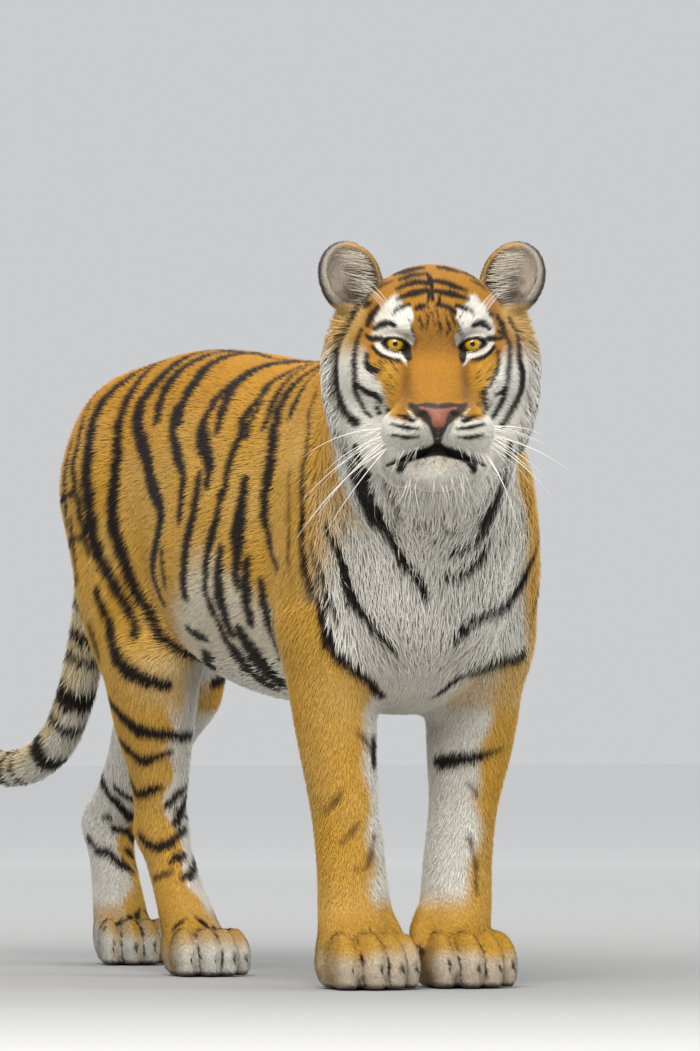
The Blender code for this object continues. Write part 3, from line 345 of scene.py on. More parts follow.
def hindleg_masses(body, side, hip, knee, hock, paw, turn):
    hip, knee, hock, paw = (Vector(p) for p in (hip, knee, hock, paw))
    body.add(ball((side * 0.064, 0.860, 0.765), (0.080, 0.132, 0.125)), 0.06)  # rump
    mid = hip.lerp(knee, 0.5)
    body.add(loft([
        (hip.x, hip.y, hip.z + 0.030, 0.074, 0.140, 0.112),
        (mid.x, mid.y + 0.015, mid.z, 0.074, 0.120, 0.110),
        (knee.x, knee.y + 0.010, knee.z + 0.010, 0.058, 0.078, 0.078),
    ]), 0.05)
    shin = hock - knee
    calf = knee + shin * 0.35 + Vector((0, 0.030, 0))
    seat = Vector((side * 0.060, 0.915, 0.740))
    body.add(loft([
        (*seat, 0.058, 0.080, 0.066),
        (*seat.lerp(calf, 0.5), 0.054, 0.075, 0.062),
        (*calf, 0.036, 0.045, 0.040),
    ]), 0.06)  # the muscles down the back of the thigh

    def along(t, side_r, fore, aft):
        p = knee + shin * t
        return (p.x, p.y, p.z, side_r, fore, aft)

    body.add(loft([
        along(0.00, 0.058, 0.074, 0.078),
        along(0.25, 0.056, 0.068, 0.078),
        along(0.55, 0.048, 0.055, 0.064),
        along(0.85, 0.038, 0.046, 0.048),
        along(1.00, 0.037, 0.044, 0.044),
    ]), 0.045)
    heel = hock + Vector((0, 0.040, 0.022))
    string = knee + shin * 0.45 + Vector((0, 0.040, 0.0))
    body.add(loft([
        (*string, 0.024, 0.026, 0.026),
        (*string.lerp(heel, 0.6), 0.017, 0.018, 0.018),
        (*heel, 0.022, 0.021, 0.021),
    ]), 0.02)
    ball_joint = paw + Vector((0, 0.030, 0.058))
    body.add(loft([
        (*hock, 0.038, 0.042, 0.042),
        (*hock.lerp(ball_joint, 0.45), 0.036, 0.040, 0.040),
        (*ball_joint, 0.044, 0.046, 0.042),
    ]), 0.02)
    paw_masses(body, paw, turn, *HIND_PAW)


# ---------------------------------------------------------------- head


def head_frame():
    """(origin, axes): the columns are the head's left, back and up, as the body's are."""
    axes = turned(-HEAD_YAW, "Z") @ turned(HEAD_PITCH, "X")
    return np.array(HEAD_ORIGIN), axes


def head_masses():
    """The head in its own frame: x to its left, y back, z up, from midway between the eyeballs."""
    head = Masses(head_frame())
    head.add(ball((0, 0.082, 0.016), (0.106, 0.115, 0.098)), 0.03)  # brain case
    head.add(ball((0, 0.045, 0.036), (0.080, 0.062, 0.066)), 0.03)  # forehead
    head.pair((0.080, 0.042, -0.034), (0.050, 0.056, 0.058), 0.03)  # cheekbones
    head.pair((0.102, 0.088, -0.036), (0.052, 0.048, 0.112), 0.03)  # ruff
    head.pair((0.078, 0.070, -0.112), (0.052, 0.050, 0.060), 0.03)  # the ruff's lower lobe
    head.add(ball((0, 0.040, -0.128), (0.092, 0.085, 0.062)), 0.04)  # throat
    # x, y, z of the axis, half-width, reach up and down: the flat bridge of the nose
    head.add(loft([
        (0, 0.022, 0.012, 0.034, 0.027, 0.040),
        (0, -0.007, -0.015, 0.034, 0.027, 0.040),
        (0, -0.034, -0.045, 0.036, 0.027, 0.042),
        (0, -0.074, -0.075, 0.039, 0.027, 0.040),
        (0, -0.108, -0.097, 0.038, 0.025, 0.030),
    ], front=UP, power=2.8, cap=0.4), 0.016)
    head.pair((0.046, 0.002, 0.030), (0.032, 0.022, 0.016), 0.016)  # brows
    head.pair((0.050, 0.000, -0.056), (0.036, 0.042, 0.046), 0.030)  # upper jaw, below the eyes
    head.add(ball((0, -0.054, -0.108), (0.062, 0.068, 0.046)), 0.024)  # muzzle
    head.pair((0.041, -0.088, -0.120), (0.037, 0.045, 0.032), 0.014)  # whisker pads
    head.pair((0.050, -0.062, -0.144), (0.025, 0.040, 0.022), 0.012)  # hanging corners of the upper lip
    head.pair((0.040, -0.008, -0.165), (0.040, 0.086, 0.034), 0.02)  # lower jaw
    head.add(ball((0, -0.072, -0.178), (0.050, 0.044, 0.030)), 0.012)  # chin
    head.add(ball((0, -0.111, -0.098), (0.037, 0.027, 0.017)), 0.008)  # nose, across the nostrils
    head.add(ball((0, -0.119, -0.110), (0.019, 0.022, 0.017)), 0.006)  # nose, between them
    head.pair((0.027, -0.134, -0.106), (0.013, 0.010, 0.0045), 0.004, turned(38, "Y"),
              hollow=True)  # nostrils
    head.hollow(ball((0, -0.143, -0.132), (0.0035, 0.016, 0.013)), 0.004)  # groove of the upper lip
    # the mouth, a little open: highest in the middle, hanging to its corners
    head.hollow(loft([
        (-0.054, -0.045, -0.168, 0.010, 0.0025, 0.0025),
        (-0.047, -0.078, -0.164, 0.024, 0.0035, 0.0035),
        (-0.028, -0.106, -0.154, 0.028, 0.0055, 0.0055),
        (0.000, -0.115, -0.146, 0.030, 0.0075, 0.0060),
        (0.028, -0.106, -0.154, 0.028, 0.0055, 0.0055),
        (0.047, -0.078, -0.164, 0.024, 0.0035, 0.0035),
        (0.054, -0.045, -0.168, 0.010, 0.0025, 0.0025),
    ], front=UP), 0.003)
    head.pair((EYE_X, -0.024, 0.000), (0.025, 0.018, 0.015), 0.010, hollow=True)  # eye sockets
    head.pair((EYE_X, EYE_Y, EYE_Z), (EYE_R + LID,) * 3, 0.006)  # lids
    # the opening between the lids, slanting down to the inner corner
    head.pair((EYE_X - 0.001, EYE_Y - 0.018, EYE_Z - 0.002), (0.0190, 0.016, 0.0078), 0.002, turned(-14, "Y"),
              hollow=True)
    return head


EAR_X, EAR_Y, EAR_Z = 0.113, 0.072, 0.094  # the middle of the left ear's cup, in the head's frame
EAR_SIZE = np.array((0.047, 0.026, 0.056))


def ear_frame(sign):
    """(middle, axes) of one ear's cup, in the head's frame."""
    return np.array((sign * EAR_X, EAR_Y, EAR_Z)), turned(sign * 22.0, "Y") @ turned(-sign * 20.0, "Z")


def ear_masses():
    """Two upright cups, open to the front and a little outwards."""
    ears = Masses(head_frame())
    for sign in (RIGHT, LEFT):
        middle, tilt = ear_frame(sign)
        ears.add(ball(middle, EAR_SIZE, tilt), 0.005)
        bowl = middle + tilt @ np.array([0.0, -0.020, 0.004])
        ears.hollow(ball(bowl, (0.037, 0.024, 0.045), tilt), 0.004)
    return ears


def all_masses():
    body = Masses()
    trunk_masses(body)
    neck_masses(body)
    for side, leg in FORE_LEGS.items():
        foreleg_masses(body, side, **leg)
    for side, leg in HIND_LEGS.items():
        hindleg_masses(body, side, **leg)
    tail_masses(body)
    return body


BODY, HEAD, EARS = all_masses(), head_masses(), ear_masses()


def body_depth(points):
    """How far each point is outside the coat's surface; negative inside."""
    found = smooth_min(BODY.depth(points), HEAD.depth(points), 0.030)
    return smooth_min(found, EARS.depth(points), 0.008)


# ---------------------------------------------------------------- meshing

CORNERS = np.array([[i, j, k] for i in (0, 1) for j in (0, 1) for k in (0, 1)])
LOW, HIGH = np.array([-0.40, -0.62, -0.04]), np.array([0.34, 1.80, 1.12])  # the space the whole tiger is in
HEAD_LOW, HEAD_HIGH = np.array([-0.40, -0.58, 0.52]), np.array([0.10, -0.10, 1.10])
MOST_POINTS = 200000  # worked out at a time


def depth_grid(depth, low, high, step, coarse=4):
    """depth on a grid, worked out finely only near the surface."""
    counts = (np.ceil((high - low) / (step * coarse)).astype(int) + 1)
    wide = np.stack(np.meshgrid(*[np.arange(n) for n in counts], indexing="ij"), -1)
    rough = depth(low + step * coarse * wide.reshape(-1, 3)).reshape(counts)
    near = np.abs(rough) < step * coarse * 2.2
    cells = np.zeros(counts - 1, bool)
    for i, j, k in CORNERS:
        cells |= near[i:i + cells.shape[0], j:j + cells.shape[1], k:k + cells.shape[2]]
    fine = np.repeat(np.repeat(np.repeat(rough[:-1, :-1, :-1], coarse, 0), coarse, 1), coarse, 2)
    fine = np.pad(fine, ((0, 1), (0, 1), (0, 1)), mode="edge")
    asked = np.repeat(np.repeat(np.repeat(cells, coarse, 0), coarse, 1), coarse, 2)
    asked = np.pad(asked, ((0, 1), (0, 1), (0, 1)), mode="edge")
    index = np.argwhere(asked)
    shares = np.array_split(index, max(1, len(index) // MOST_POINTS))
    fine[tuple(index.T)] = np.concatenate([depth(low + step * share) for share in shares])
    return fine


def surface_net(values, low, step):
    """Quads round the zero of a grid: one vertex in each cell that the surface crosses."""
    inside = values < 0
    n = np.array(values.shape) - 1
    total = np.zeros(n, np.int8)
    for i, j, k in CORNERS:
        total += inside[i:i + n[0], j:j + n[1], k:k + n[2]]
    crossed = (total > 0) & (total < 8)
    cells = np.argwhere(crossed)
    number = np.full(n, -1)
    number[tuple(cells.T)] = np.arange(len(cells))
    sums, hits = np.zeros((len(cells), 3)), np.zeros(len(cells))
    for a in CORNERS:
        for axis in range(3):
            if a[axis]:
                continue
            b = a.copy()
            b[axis] = 1
            va, vb = values[tuple((cells + a).T)], values[tuple((cells + b).T)]
            cut = (va < 0) != (vb < 0)
            t = va[cut] / (va[cut] - vb[cut])
            sums[cut] += a + (b - a) * t[:, None]
            hits[cut] += 1
    points = low + step * (cells + sums / hits[:, None])
    quads = []
    for axis in range(3):
        one, two = (axis + 1) % 3, (axis + 2) % 3
        here = [slice(None)] * 3
        there = [slice(None)] * 3
        here[axis], there[axis] = slice(0, -1), slice(1, None)
        flips = inside[tuple(here)] != inside[tuple(there)]
        edges = np.argwhere(flips)
        edges = edges[(edges[:, one] > 0) & (edges[:, two] > 0)
                      & (edges[:, one] < n[one]) & (edges[:, two] < n[two])]
        outward = inside[tuple(edges.T)]
        ring = []
        for d1, d2 in ((-1, -1), (0, -1), (0, 0), (-1, 0)):
            cell = edges.copy()
            cell[:, one] += d1
            cell[:, two] += d2
            ring.append(number[tuple(cell.T)])
        quad = np.stack(ring, 1)
        quad[~outward] = quad[~outward][:, ::-1]
        quads.append(quad)
    return points, np.concatenate(quads)


def settle(depth, points, times=2, step=0.0015):
    """Moves points on to the surface along the depth's slope."""
    for _ in range(times):
        here = depth(points)
        slope = np.stack([depth(points + step * np.eye(3)[i]) - here for i in range(3)], 1) / step
        points = points - (here / np.maximum((slope ** 2).sum(1), 0.2))[:, None] * slope
    return points


# ---------------------------------------------------------------- markings

# Each stroke is its half-width at its start, middle and end, then the points that it runs through, in metres.
# (y, z) on the tiger's side. The left side has the same ones, a little moved.
SIDE_STROKES = [
    ((.001, .0045, .001), ((.95, .84), (.975, .80), (.98, .765))),
    ((.002, .005, .002), ((.898, .80), (.892, .744), (.884, .70), (.883, .670))),
    ((.003, .005, .002), ((.875, .835), (.862, .80), (.853, .755), (.828, .701), (.806, .66), (.784, .626))),
    ((.002, .003, .002), ((.859, .681), (.85, .64), (.835, .60))),
    ((.006, .011, .004), ((.81, .893), (.825, .871), (.833, .848), (.828, .825), (.817, .80), (.81, .773),
                          (.805, .743), (.795, .713), (.788, .686), (.77, .648), (.74, .615), (.707, .585),
                          (.67, .553), (.635, .523), (.613, .50))),
    ((.005, .0095, .005), ((.775, .912), (.763, .882), (.76, .857), (.753, .832), (.745, .807), (.735, .78),
                          (.733, .754), (.73, .727), (.728, .703), (.722, .677), (.708, .65), (.687, .62),
                          (.667, .59), (.64, .56), (.61, .532), (.585, .505), (.57, .487), (.55, .456))),
    ((.010, .013, .006), ((.69, .897), (.70, .872), (.708, .852), (.70, .831), (.675, .805), (.644, .783),
                          (.612, .758), (.589, .733), (.557, .711), (.53, .69), (.527, .671), (.542, .647),
                          (.562, .622), (.575, .60), (.568, .577), (.55, .553))),
    ((.008, .010, .006), ((.63, .923), (.64, .908), (.643, .888), (.641, .868), (.635, .846), (.62, .824))),
    ((.009, .011, .005), ((.57, .925), (.572, .908), (.56, .885), (.553, .863), (.547, .842), (.525, .818))),
    ((.006, .009, .005), ((.566, .84), (.552, .818), (.527, .794), (.489, .768), (.451, .743), (.44, .72),
                          (.443, .695), (.44, .67))),
    ((.006, .013, .006), ((.435, .853), (.433, .832), (.43, .81), (.406, .786), (.368, .762), (.35, .743),
                          (.347, .72))),
    ((.005, .009, .008), ((.387, .738), (.38, .714), (.382, .69), (.392, .665), (.405, .64), (.415, .61),
                          (.425, .58), (.423, .562))),
    ((.008, .010, .005), ((.37, .905), (.405, .90), (.415, .882), (.41, .864), (.397, .846), (.382, .824),
                          (.365, .80))),
    ((.007, .007, .004), ((.287, .885), (.295, .867), (.285, .848), (.293, .83), (.293, .811), (.28, .79),
                          (.287, .768), (.289, .743), (.284, .72), (.285, .703))),
    ((.003, .004, .003), ((.27, .84), (.268, .815), (.262, .79))),
    ((.003, .008, .006), ((.30, .708), (.297, .683), (.306, .66), (.317, .636), (.33, .612), (.335, .59))),
    ((.005, .013, .004), ((.229, .727), (.226, .70), (.231, .672), (.232, .643), (.233, .618), (.236, .594),
                          (.233, .57))),
    ((.005, .010, .007), ((.283, .628), (.288, .603), (.292, .58), (.292, .553), (.288, .527), (.286, .506))),
    ((.004, .006, .004), ((.335, .59), (.34, .57), (.33, .545), (.318, .52), (.31, .50))),
    ((.006, .009, .004), ((.17, .893), (.197, .875), (.20, .85), (.194, .826), (.185, .80), (.173, .779),
                          (.167, .756), (.165, .733), (.164, .71), (.163, .687), (.156, .664), (.14, .64),
                          (.12, .614), (.085, .594))),
    ((.004, .005, .003), ((.25, .88), (.235, .85), (.22, .82), (.215, .80))),
    ((.003, .005, .003), ((.155, .86), (.15, .835), (.15, .815))),
    ((.001, .003, .001), ((.05, .85), (.045, .822), (.01, .79), (-.008, .763), (-.007, .735), (-.01, .705),
                          (-.013, .677), (-.014, .65), (-.014, .62), (-.018, .593), (-.025, .565),
                          (-.035, .535))),
    ((.000, .001, .000), ((-.045, .61), (-.05, .58), (-.05, .55), (-.055, .52))),
    ((.005, .009, .006), ((.203, .61), (.209, .587), (.21, .565), (.213, .543), (.213, .52))),
    ((.005, .008, .007), ((.167, .578), (.164, .556), (.162, .536), (.16, .516), (.155, .49), (.15, .465))),
    ((.008, .018, .016), ((.255, .51), (.245, .48), (.235, .452), (.23, .438))),
    ((.006, .014, .014), ((.315, .50), (.305, .475), (.295, .450), (.285, .435))),
    ((.008, .012, .010), ((.52, .46), (.47, .467), (.43, .478))),
    ((.005, .007, .005), ((.10, .53), (.095, .50), (.09, .47))),
    ((.004, .007, .004), ((.46, .515), (.43, .505), (.39, .50))),
    ((.003, .004, .003), ((.52, .63), (.515, .60), (.515, .575))),
    ((.004, .009, .007), ((.745, .57), (.72, .545), (.69, .515), (.66, .485), (.63, .460), (.60, .440),
                          (.57, .424), (.54, .408), (.52, .400))),
]
SIDE_BROWN = [
    ((.002, .003, .001), ((.82, .74), (.82, .70), (.815, .66))),
    ((.003, .004, .003), ((.05, .73), (.04, .70), (.035, .66), (.035, .62), (.03, .59))),
    ((.006, .010, .006), ((.77, .52), (.75, .49), (.74, .47))),
]
# (x, y) on the left half of the rump and the root of the tail, seen from above
RUMP_STROKES = [
    ((.002, .007, .003), ((.125, .880), (.070, .915), (.012, .930))),
    ((.002, .007, .003), ((.115, .945), (.060, .970), (.010, .985))),
    ((.002, .006, .003), ((.060, 1.010), (.030, 1.028), (.0, 1.035))),
]
# (x, z) on the buttock and the back of the left thigh, seen from behind
REAR_STROKES = [
    ((.003, .006, .001), ((.160, .720), (.125, .700), (.090, .690))),
    ((.003, .006, .001), ((.165, .655), (.130, .632), (.085, .622))),
    ((.002, .005, .001), ((.160, .590), (.125, .568), (.080, .560))),
    ((.003, .005, .001), ((.150, .530), (.120, .510), (.085, .502))),
    ((.002, .004, .001), ((.140, .470), (.110, .452), (.080, .446))),
]
# (x, y) on the middle of the back
SPINE = [
    ((.002, .008, .004), ((.004, .900), (-.004, .84), (.005, .77), (-.002, .70))),
    ((.004, .011, .005), ((.003, .690), (-.006, .62), (.006, .55), (-.004, .47))),
    ((.005, .010, .004), ((-.004, .455), (.006, .39), (-.006, .32), (.004, .25))),
    ((.003, .007, .002), ((.005, .235), (-.004, .18), (-.004, .10))),
]
# (x, y, z) on the outer side of the right hind leg and the inner side of the left one. Each leg has both
# sets.
HIND_STROKES = {
    RIGHT: [
        ((.006, .009, .006), ((-.166, .690, .402), (-.164, .666, .388), (-.147, .628, .361),
                              (-.114, .604, .355), (-.070, .620, .353))),
        ((.005, .007, .003), ((-.155, .690, .345), (-.150, .665, .330), (-.136, .642, .316),
                              (-.105, .612, .330))),
        ((.004, .007, .003), ((-.135, .710, .298), (-.132, .690, .276), (-.127, .677, .267),
                              (-.109, .635, .276))),
        ((.003, .0045, .003), ((-.097, .641, .249), (-.079, .637, .267), (-.063, .650, .282))),
        ((.003, .007, .004), ((-.121, .686, .204), (-.115, .667, .189), (-.106, .649, .186),
                              (-.088, .639, .195), (-.063, .650, .213))),
        ((.002, .003, .002), ((-.083, .643, .243), (-.078, .642, .236))),
        ((.002, .003, .002), ((-.062, .655, .234), (-.058, .660, .226))),
        ((.002, .003, .001), ((-.110, .656, .140), (-.104, .636, .143), (-.095, .622, .149))),
        ((.002, .003, .002), ((-.085, .612, .140), (-.073, .615, .146), (-.066, .621, .155))),
        ((.001, .002, .001), ((-.109, .591, .065), (-.101, .586, .074), (-.093, .581, .081))),
        ((.001, .002, .001), ((-.080, .576, .084), (-.071, .567, .076), (-.064, .559, .067))),
    ],
    LEFT: [
        ((.003, .005, .003), ((.047, 1.199, .294), (.040, 1.180, .270))),
        ((.003, .007, .006), ((.036, 1.180, .285), (.038, 1.166, .266), (.051, 1.150, .246),
                              (.078, 1.164, .224))),
        ((.003, .0055, .003), ((.034, 1.227, .190), (.038, 1.201, .170), (.049, 1.180, .166),
                               (.059, 1.167, .149), (.073, 1.162, .139))),
        ((.003, .006, .003), ((.074, 1.177, .172), (.090, 1.185, .160))),
        ((.001, .003, .001), ((.012, 1.100, .050), (.043, 1.120, .066))),
        ((.002, .005, .003), ((.055, 1.118, .069), (.050, 1.090, .058))),
    ],
}
# (x, y, z) on the throat and the chest
CHEST_STROKES = [
    ((.004, .0070, .003), ((-.235, -.310, .747), (-.195, -.250, .718), (-.183, -.246, .694),
                           (-.158, -.228, .666), (-.132, -.208, .633), (-.112, -.199, .604),
                           (-.089, -.196, .578), (-.075, -.192, .553))),
    ((.004, .0090, .003), ((.045, -.219, .751), (.031, -.232, .726), (.019, -.241, .709), (.007, -.237, .679),
                           (-.003, -.229, .653), (-.016, -.224, .631), (-.039, -.226, .621),
                           (-.054, -.225, .616))),
    ((.002, .0045, .002), ((.010, -.214, .639), (.008, -.208, .619), (-.010, -.207, .597),
                           (-.031, -.206, .585), (-.049, -.204, .578))),
    ((.003, .0100, .003), ((.165, -.080, .645), (.151, -.086, .625), (.136, -.090, .595), (.127, -.080, .566),
                           (.103, -.083, .546), (.060, -.140, .538), (.034, -.173, .532), (.002, -.183, .520),
                           (-.015, -.178, .503), (-.022, -.174, .494))),
    ((.003, .0105, .004), ((-.173, -.080, .654), (-.168, -.092, .634), (-.158, -.100, .610),
                           (-.148, -.094, .579), (-.137, -.094, .552), (-.127, -.107, .530),
                           (-.117, -.120, .510), (-.105, -.129, .496), (-.093, -.129, .481))),
    ((.003, .0080, .005), ((-.165, -.035, .548), (-.160, -.035, .516), (-.150, -.037, .484),
                           (-.132, -.044, .460), (-.110, -.050, .445), (-.091, -.051, .430),
                           (-.072, -.040, .413))),
    ((.004, .0090, .001), ((.156, -.039, .470), (.135, -.047, .463), (.109, -.050, .458), (.077, -.059, .453),
                           (.037, -.095, .447), (.015, -.088, .435), (-.003, -.064, .416))),
    ((.000, .0010, .000), ((-.177, -.037, .626), (-.172, -.040, .584), (-.166, -.036, .552))),
]
CHEST_BROWN = [
    ((.003, .005, .002), ((-.187, -.282, .722), (-.171, -.277, .694), (-.154, -.270, .672),
                          (-.142, -.239, .654))),
    ((.002, .004, .002), ((-.103, -.291, .665), (-.081, -.268, .651), (-.052, -.248, .642))),
    ((.001, .003, .001), ((-.127, -.280, .663), (-.105, -.263, .649), (-.080, -.238, .630))),
    ((.001, .0025, .001), ((.130, -.110, .710), (.116, -.129, .683), (.088, -.151, .658),
                           (.043, -.192, .630))),
    ((.002, .003, .001), ((-.173, -.120, .683), (-.166, -.128, .653), (-.158, -.132, .629),
                          (-.152, -.129, .612))),
    ((.003, .004, .003), ((-.180, -.003, .656), (-.179, -.007, .607), (-.175, -.014, .567),
                          (-.170, -.022, .533))),
]
# (x, z) on the front of the fore legs
FRONT_STROKES = [
    ((.014, .009, .001), ((.012, .314), (.035, .314), (.055, .319), (.080, .324), (.100, .329),
                          (.124, .335))),
    ((.007, .010, .005), ((.014, .335), (.012, .312), (.014, .290))),
    ((.006, .006, .004), ((-.08, .35), (-.078, .31))),
]
FRONT_BROWN = [
    ((.001, .0030, .001), ((.066, .210), (.072, .185), (.075, .165), (.074, .128))),
    ((.002, .003, .002), ((.07, .285), (.08, .27))),
    ((.001, .0030, .001), ((-.129, .276), (-.138, .260), (-.146, .244))),
    ((.001, .0030, .001), ((-.107, .232), (-.119, .217), (-.131, .202))),
    ((.001, .0040, .002), ((-.115, .166), (-.104, .165), (-.097, .172), (-.090, .190), (-.085, .212))),
    ((.002, .004, .002), ((-.112, .359), (-.100, .352), (-.089, .341), (-.080, .325), (-.077, .312))),
]
# (x, z) on the face, in the head's own frame
FACE_STROKES = [
    ((.005, .006, .004), ((-.012, .112), (.006, .112))),
    ((.003, .004, .002), ((-.050, .099), (-.028, .105), (-.012, .107))),
    ((.002, .003, .002), ((.007, .108), (.02, .106), (.034, .102))),
    ((.002, .003, .002), ((-.046, .091), (-.030, .096), (-.014, .098))),
    ((.002, .0042, .002), ((-.009, .098), (-.004, .088), (-.003, .078))),
    ((.002, .002, .002), ((-.004, .085), (-.003, .062))),
    ((.002, .004, .003), ((-.05, .078), (-.036, .084), (-.023, .087), (-.009, .085))),
    ((.003, .004, .002), ((.003, .088), (.018, .085), (.031, .080), (.043, .076))),
    ((.002, .005, .003), ((-.051, .063), (-.04, .068), (-.028, .071), (-.015, .074), (-.009, .075))),
    ((.003, .005, .002), ((.001, .074), (.014, .072), (.027, .069), (.039, .066), (.047, .063))),
    ((.001, .0022, .001), ((-.070, .088), (-.058, .096), (-.046, .101))),
    ((.001, .0022, .001), ((.064, .090), (.052, .097), (.040, .101))),
    ((.001, .0020, .001), ((-.078, .076), (-.068, .084), (-.056, .089))),
    ((.001, .0020, .001), ((.074, .076), (.064, .085), (.052, .090))),
    ((.001, .0018, .001), ((-.012, .078), (-.008, .068), (-.010, .058))),
    ((.001, .0018, .001), ((.010, .072), (.006, .062), (.008, .052))),
    ((.003, .004, .003), ((-.025, .05), (-.015, .053))),
    ((.002, .003, .003), ((.004, .055), (.018, .051), (.028, .044))),
    ((.002, .003, .001), ((-.036, .055), (-.044, .053), (-.052, .049), (-.058, .041))),
    ((.002, .003, .001), ((.030, .054), (.04, .051), (.05, .048), (.055, .042))),
    ((.003, .005, .003), ((-.081, .023), (-.073, .028), (-.064, .03), (-.057, .027))),
    ((.003, .005, .003), ((.055, .026), (.062, .030), (.069, .029), (.077, .023))),
    ((.001, .002, .001), ((-.034, .026), (-.030, .012))),
    ((.001, .002, .001), ((-.021, .036), (-.017, .022))),
    ((.001, .002, .001), ((.033, .029), (.037, .015))),
    ((.001, .002, .001), ((.016, .036), (.021, .020))),
    ((.001, .002, .001), ((.022, .042), (.029, .026))),
    ((.001, .002, .001), ((.006, .030), (.009, .018))),
    ((.001, .002, .001), ((-.010, .033), (-.012, .022))),
    ((.002, .004, .003), ((-.094, .013), (-.086, .008), (-.074, .008))),
    ((.003, .004, .002), ((.074, .008), (.083, .009), (.093, .009))),
    ((.002, .0025, .002), ((-.086, -.003), (-.081, -.009), (-.074, -.015), (-.064, -.020), (-.05, -.023))),
    ((.002, .0025, .002), ((.084, -.003), (.079, -.009), (.072, -.015), (.063, -.020), (.053, -.022))),
    ((.004, .005, .003), ((-.044, -.006), (-.039, -.013), (-.036, -.020))),
    ((.004, .005, .003), ((.042, -.008), (.039, -.015), (.038, -.024))),
    ((.002, .0034, .002), ((-.10, .022), (-.104, .01), (-.109, -.005), (-.111, -.025), (-.11, -.045),
                          (-.109, -.062), (-.102, -.078), (-.094, -.093), (-.087, -.10))),
    ((.002, .0042, .006), ((-.12, .025), (-.127, .008), (-.13, -.01), (-.132, -.03), (-.132, -.05),
                           (-.129, -.07), (-.123, -.09), (-.117, -.10), (-.108, -.108))),
    ((.003, .005, .003), ((-.077, .053), (-.083, .045), (-.088, .036), (-.091, .028))),
    ((.002, .004, .002), ((-.094, .055), (-.085, .06))),
    ((.002, .004, .003), ((-.097, .065), (-.108, .05), (-.116, .035), (-.120, .025))),
    ((.003, .005, .004), ((-.094, -.014), (-.095, -.025), (-.089, -.035), (-.08, -.037))),
    ((.003, .004, .003), ((-.106, -.055), (-.098, -.063), (-.089, -.067), (-.079, -.073), (-.075, -.079))),
    ((.003, .004, .003), ((-.079, -.088), (-.076, -.095))),
    ((.002, .0034, .002), ((.089, .020), (.100, .012), (.106, 0), (.106, -.018), (.104, -.035), (.102, -.052),
                          (.094, -.064), (.085, -.07))),
    ((.002, .004, .003), ((.088, .042), (.096, .028), (.10, .017))),
    ((.002, .004, .003), ((.074, .048), (.08, .042))),
    ((.002, .0044, .004), ((.107, .04), (.117, .02), (.12, 0), (.119, -.02), (.123, -.04), (.122, -.06),
                           (.115, -.08), (.107, -.095), (.096, -.112))),
    ((.002, .002, .001), ((.088, -.008), (.09, -.024), (.084, -.045), (.076, -.06))),
    ((.003, .004, .003), ((.101, -.06), (.097, -.072), (.088, -.09), (.082, -.1))),
    ((.002, .003, .002), ((.07, -.062), (.07, -.076), (.072, -.09))),
    ((.001, .0028, .002), ((-.056, -.102), (-.045, -.106), (-.036, -.111))),
    ((.002, .0028, .001), ((.036, -.111), (.045, -.107), (.056, -.102))),
    ((.003, .004, .003), ((-.065, -.091), (-.063, -.096))),
    ((.003, .004, .003), ((.063, -.093), (.065, -.099))),
    ((.003, .0055, .008), ((-.107, -.140), (-.101, -.165), (-.094, -.190), (-.072, -.241))),
    ((.003, .0060, .009), ((.107, -.137), (.102, -.165), (.094, -.196), (.074, -.239))),
]
# (x, z) of the strokes that lie alike on both sides of the muzzle
MUZZLE_STROKES = [
    ((.001, .0032, .001), ((.064, -.115), (.045, -.120), (.026, -.122))),
    ((.001, .0024, .001), ((.062, -.129), (.045, -.133), (.028, -.133))),
    ((.003, .004, .005), ((.028, -.153), (.038, -.159), (.046, -.167), (.050, -.176))),
]
# (x, y) on the crown and the nape, in the head's own frame, seen from above
CROWN_STROKES = [
    ((.003, .005, .002), ((-.050, .062), (-.030, .072), (-.012, .078))),
    ((.003, .005, .002), ((.012, .078), (.030, .072), (.050, .062))),
    ((.003, .006, .002), ((-.066, .092), (-.040, .104), (-.014, .108))),
    ((.002, .006, .003), ((.014, .110), (.040, .102), (.066, .094))),
    ((.004, .004, .003), ((.0, .082), (.0, .106), (.001, .135))),
    ((.003, .007, .003), ((-.090, .135), (-.055, .142), (-.020, .150))),
    ((.003, .007, .003), ((.022, .146), (.060, .140), (.095, .130))),
    ((.003, .008, .004), ((-.100, .185), (-.060, .196), (-.015, .190))),
    ((.004, .008, .003), ((.010, .205), (.055, .198), (.100, .188))),
    ((.003, .008, .003), ((-.110, .245), (-.060, .258), (.0, .252), (.050, .262))),
    ((.003, .008, .003), ((-.060, .315), (-.010, .322), (.060, .312), (.110, .300))),
]
# (distance along the tail, half-width) of the rings round it
TAIL_RINGS = ((.20, .006), (.26, .007), (.32, .007), (.365, .006), (.413, .010), (.45, .007), (.512, .018),
              (.56, .008), (.63, .020), (.725, .007), (.765, .010), (.82, .013), (.88, .010), (.94, .016),
              (1.0, .013))
TAIL_TIP = 1.045  # black from here to its end
# How many small dots are on each cheek, each whisker pad and each half of the chin, and how many flecks are
# on the forehead
FRECKLES, PAD_DOTS, CHIN_DOTS, FLECKS = 36, 20, 9, 40

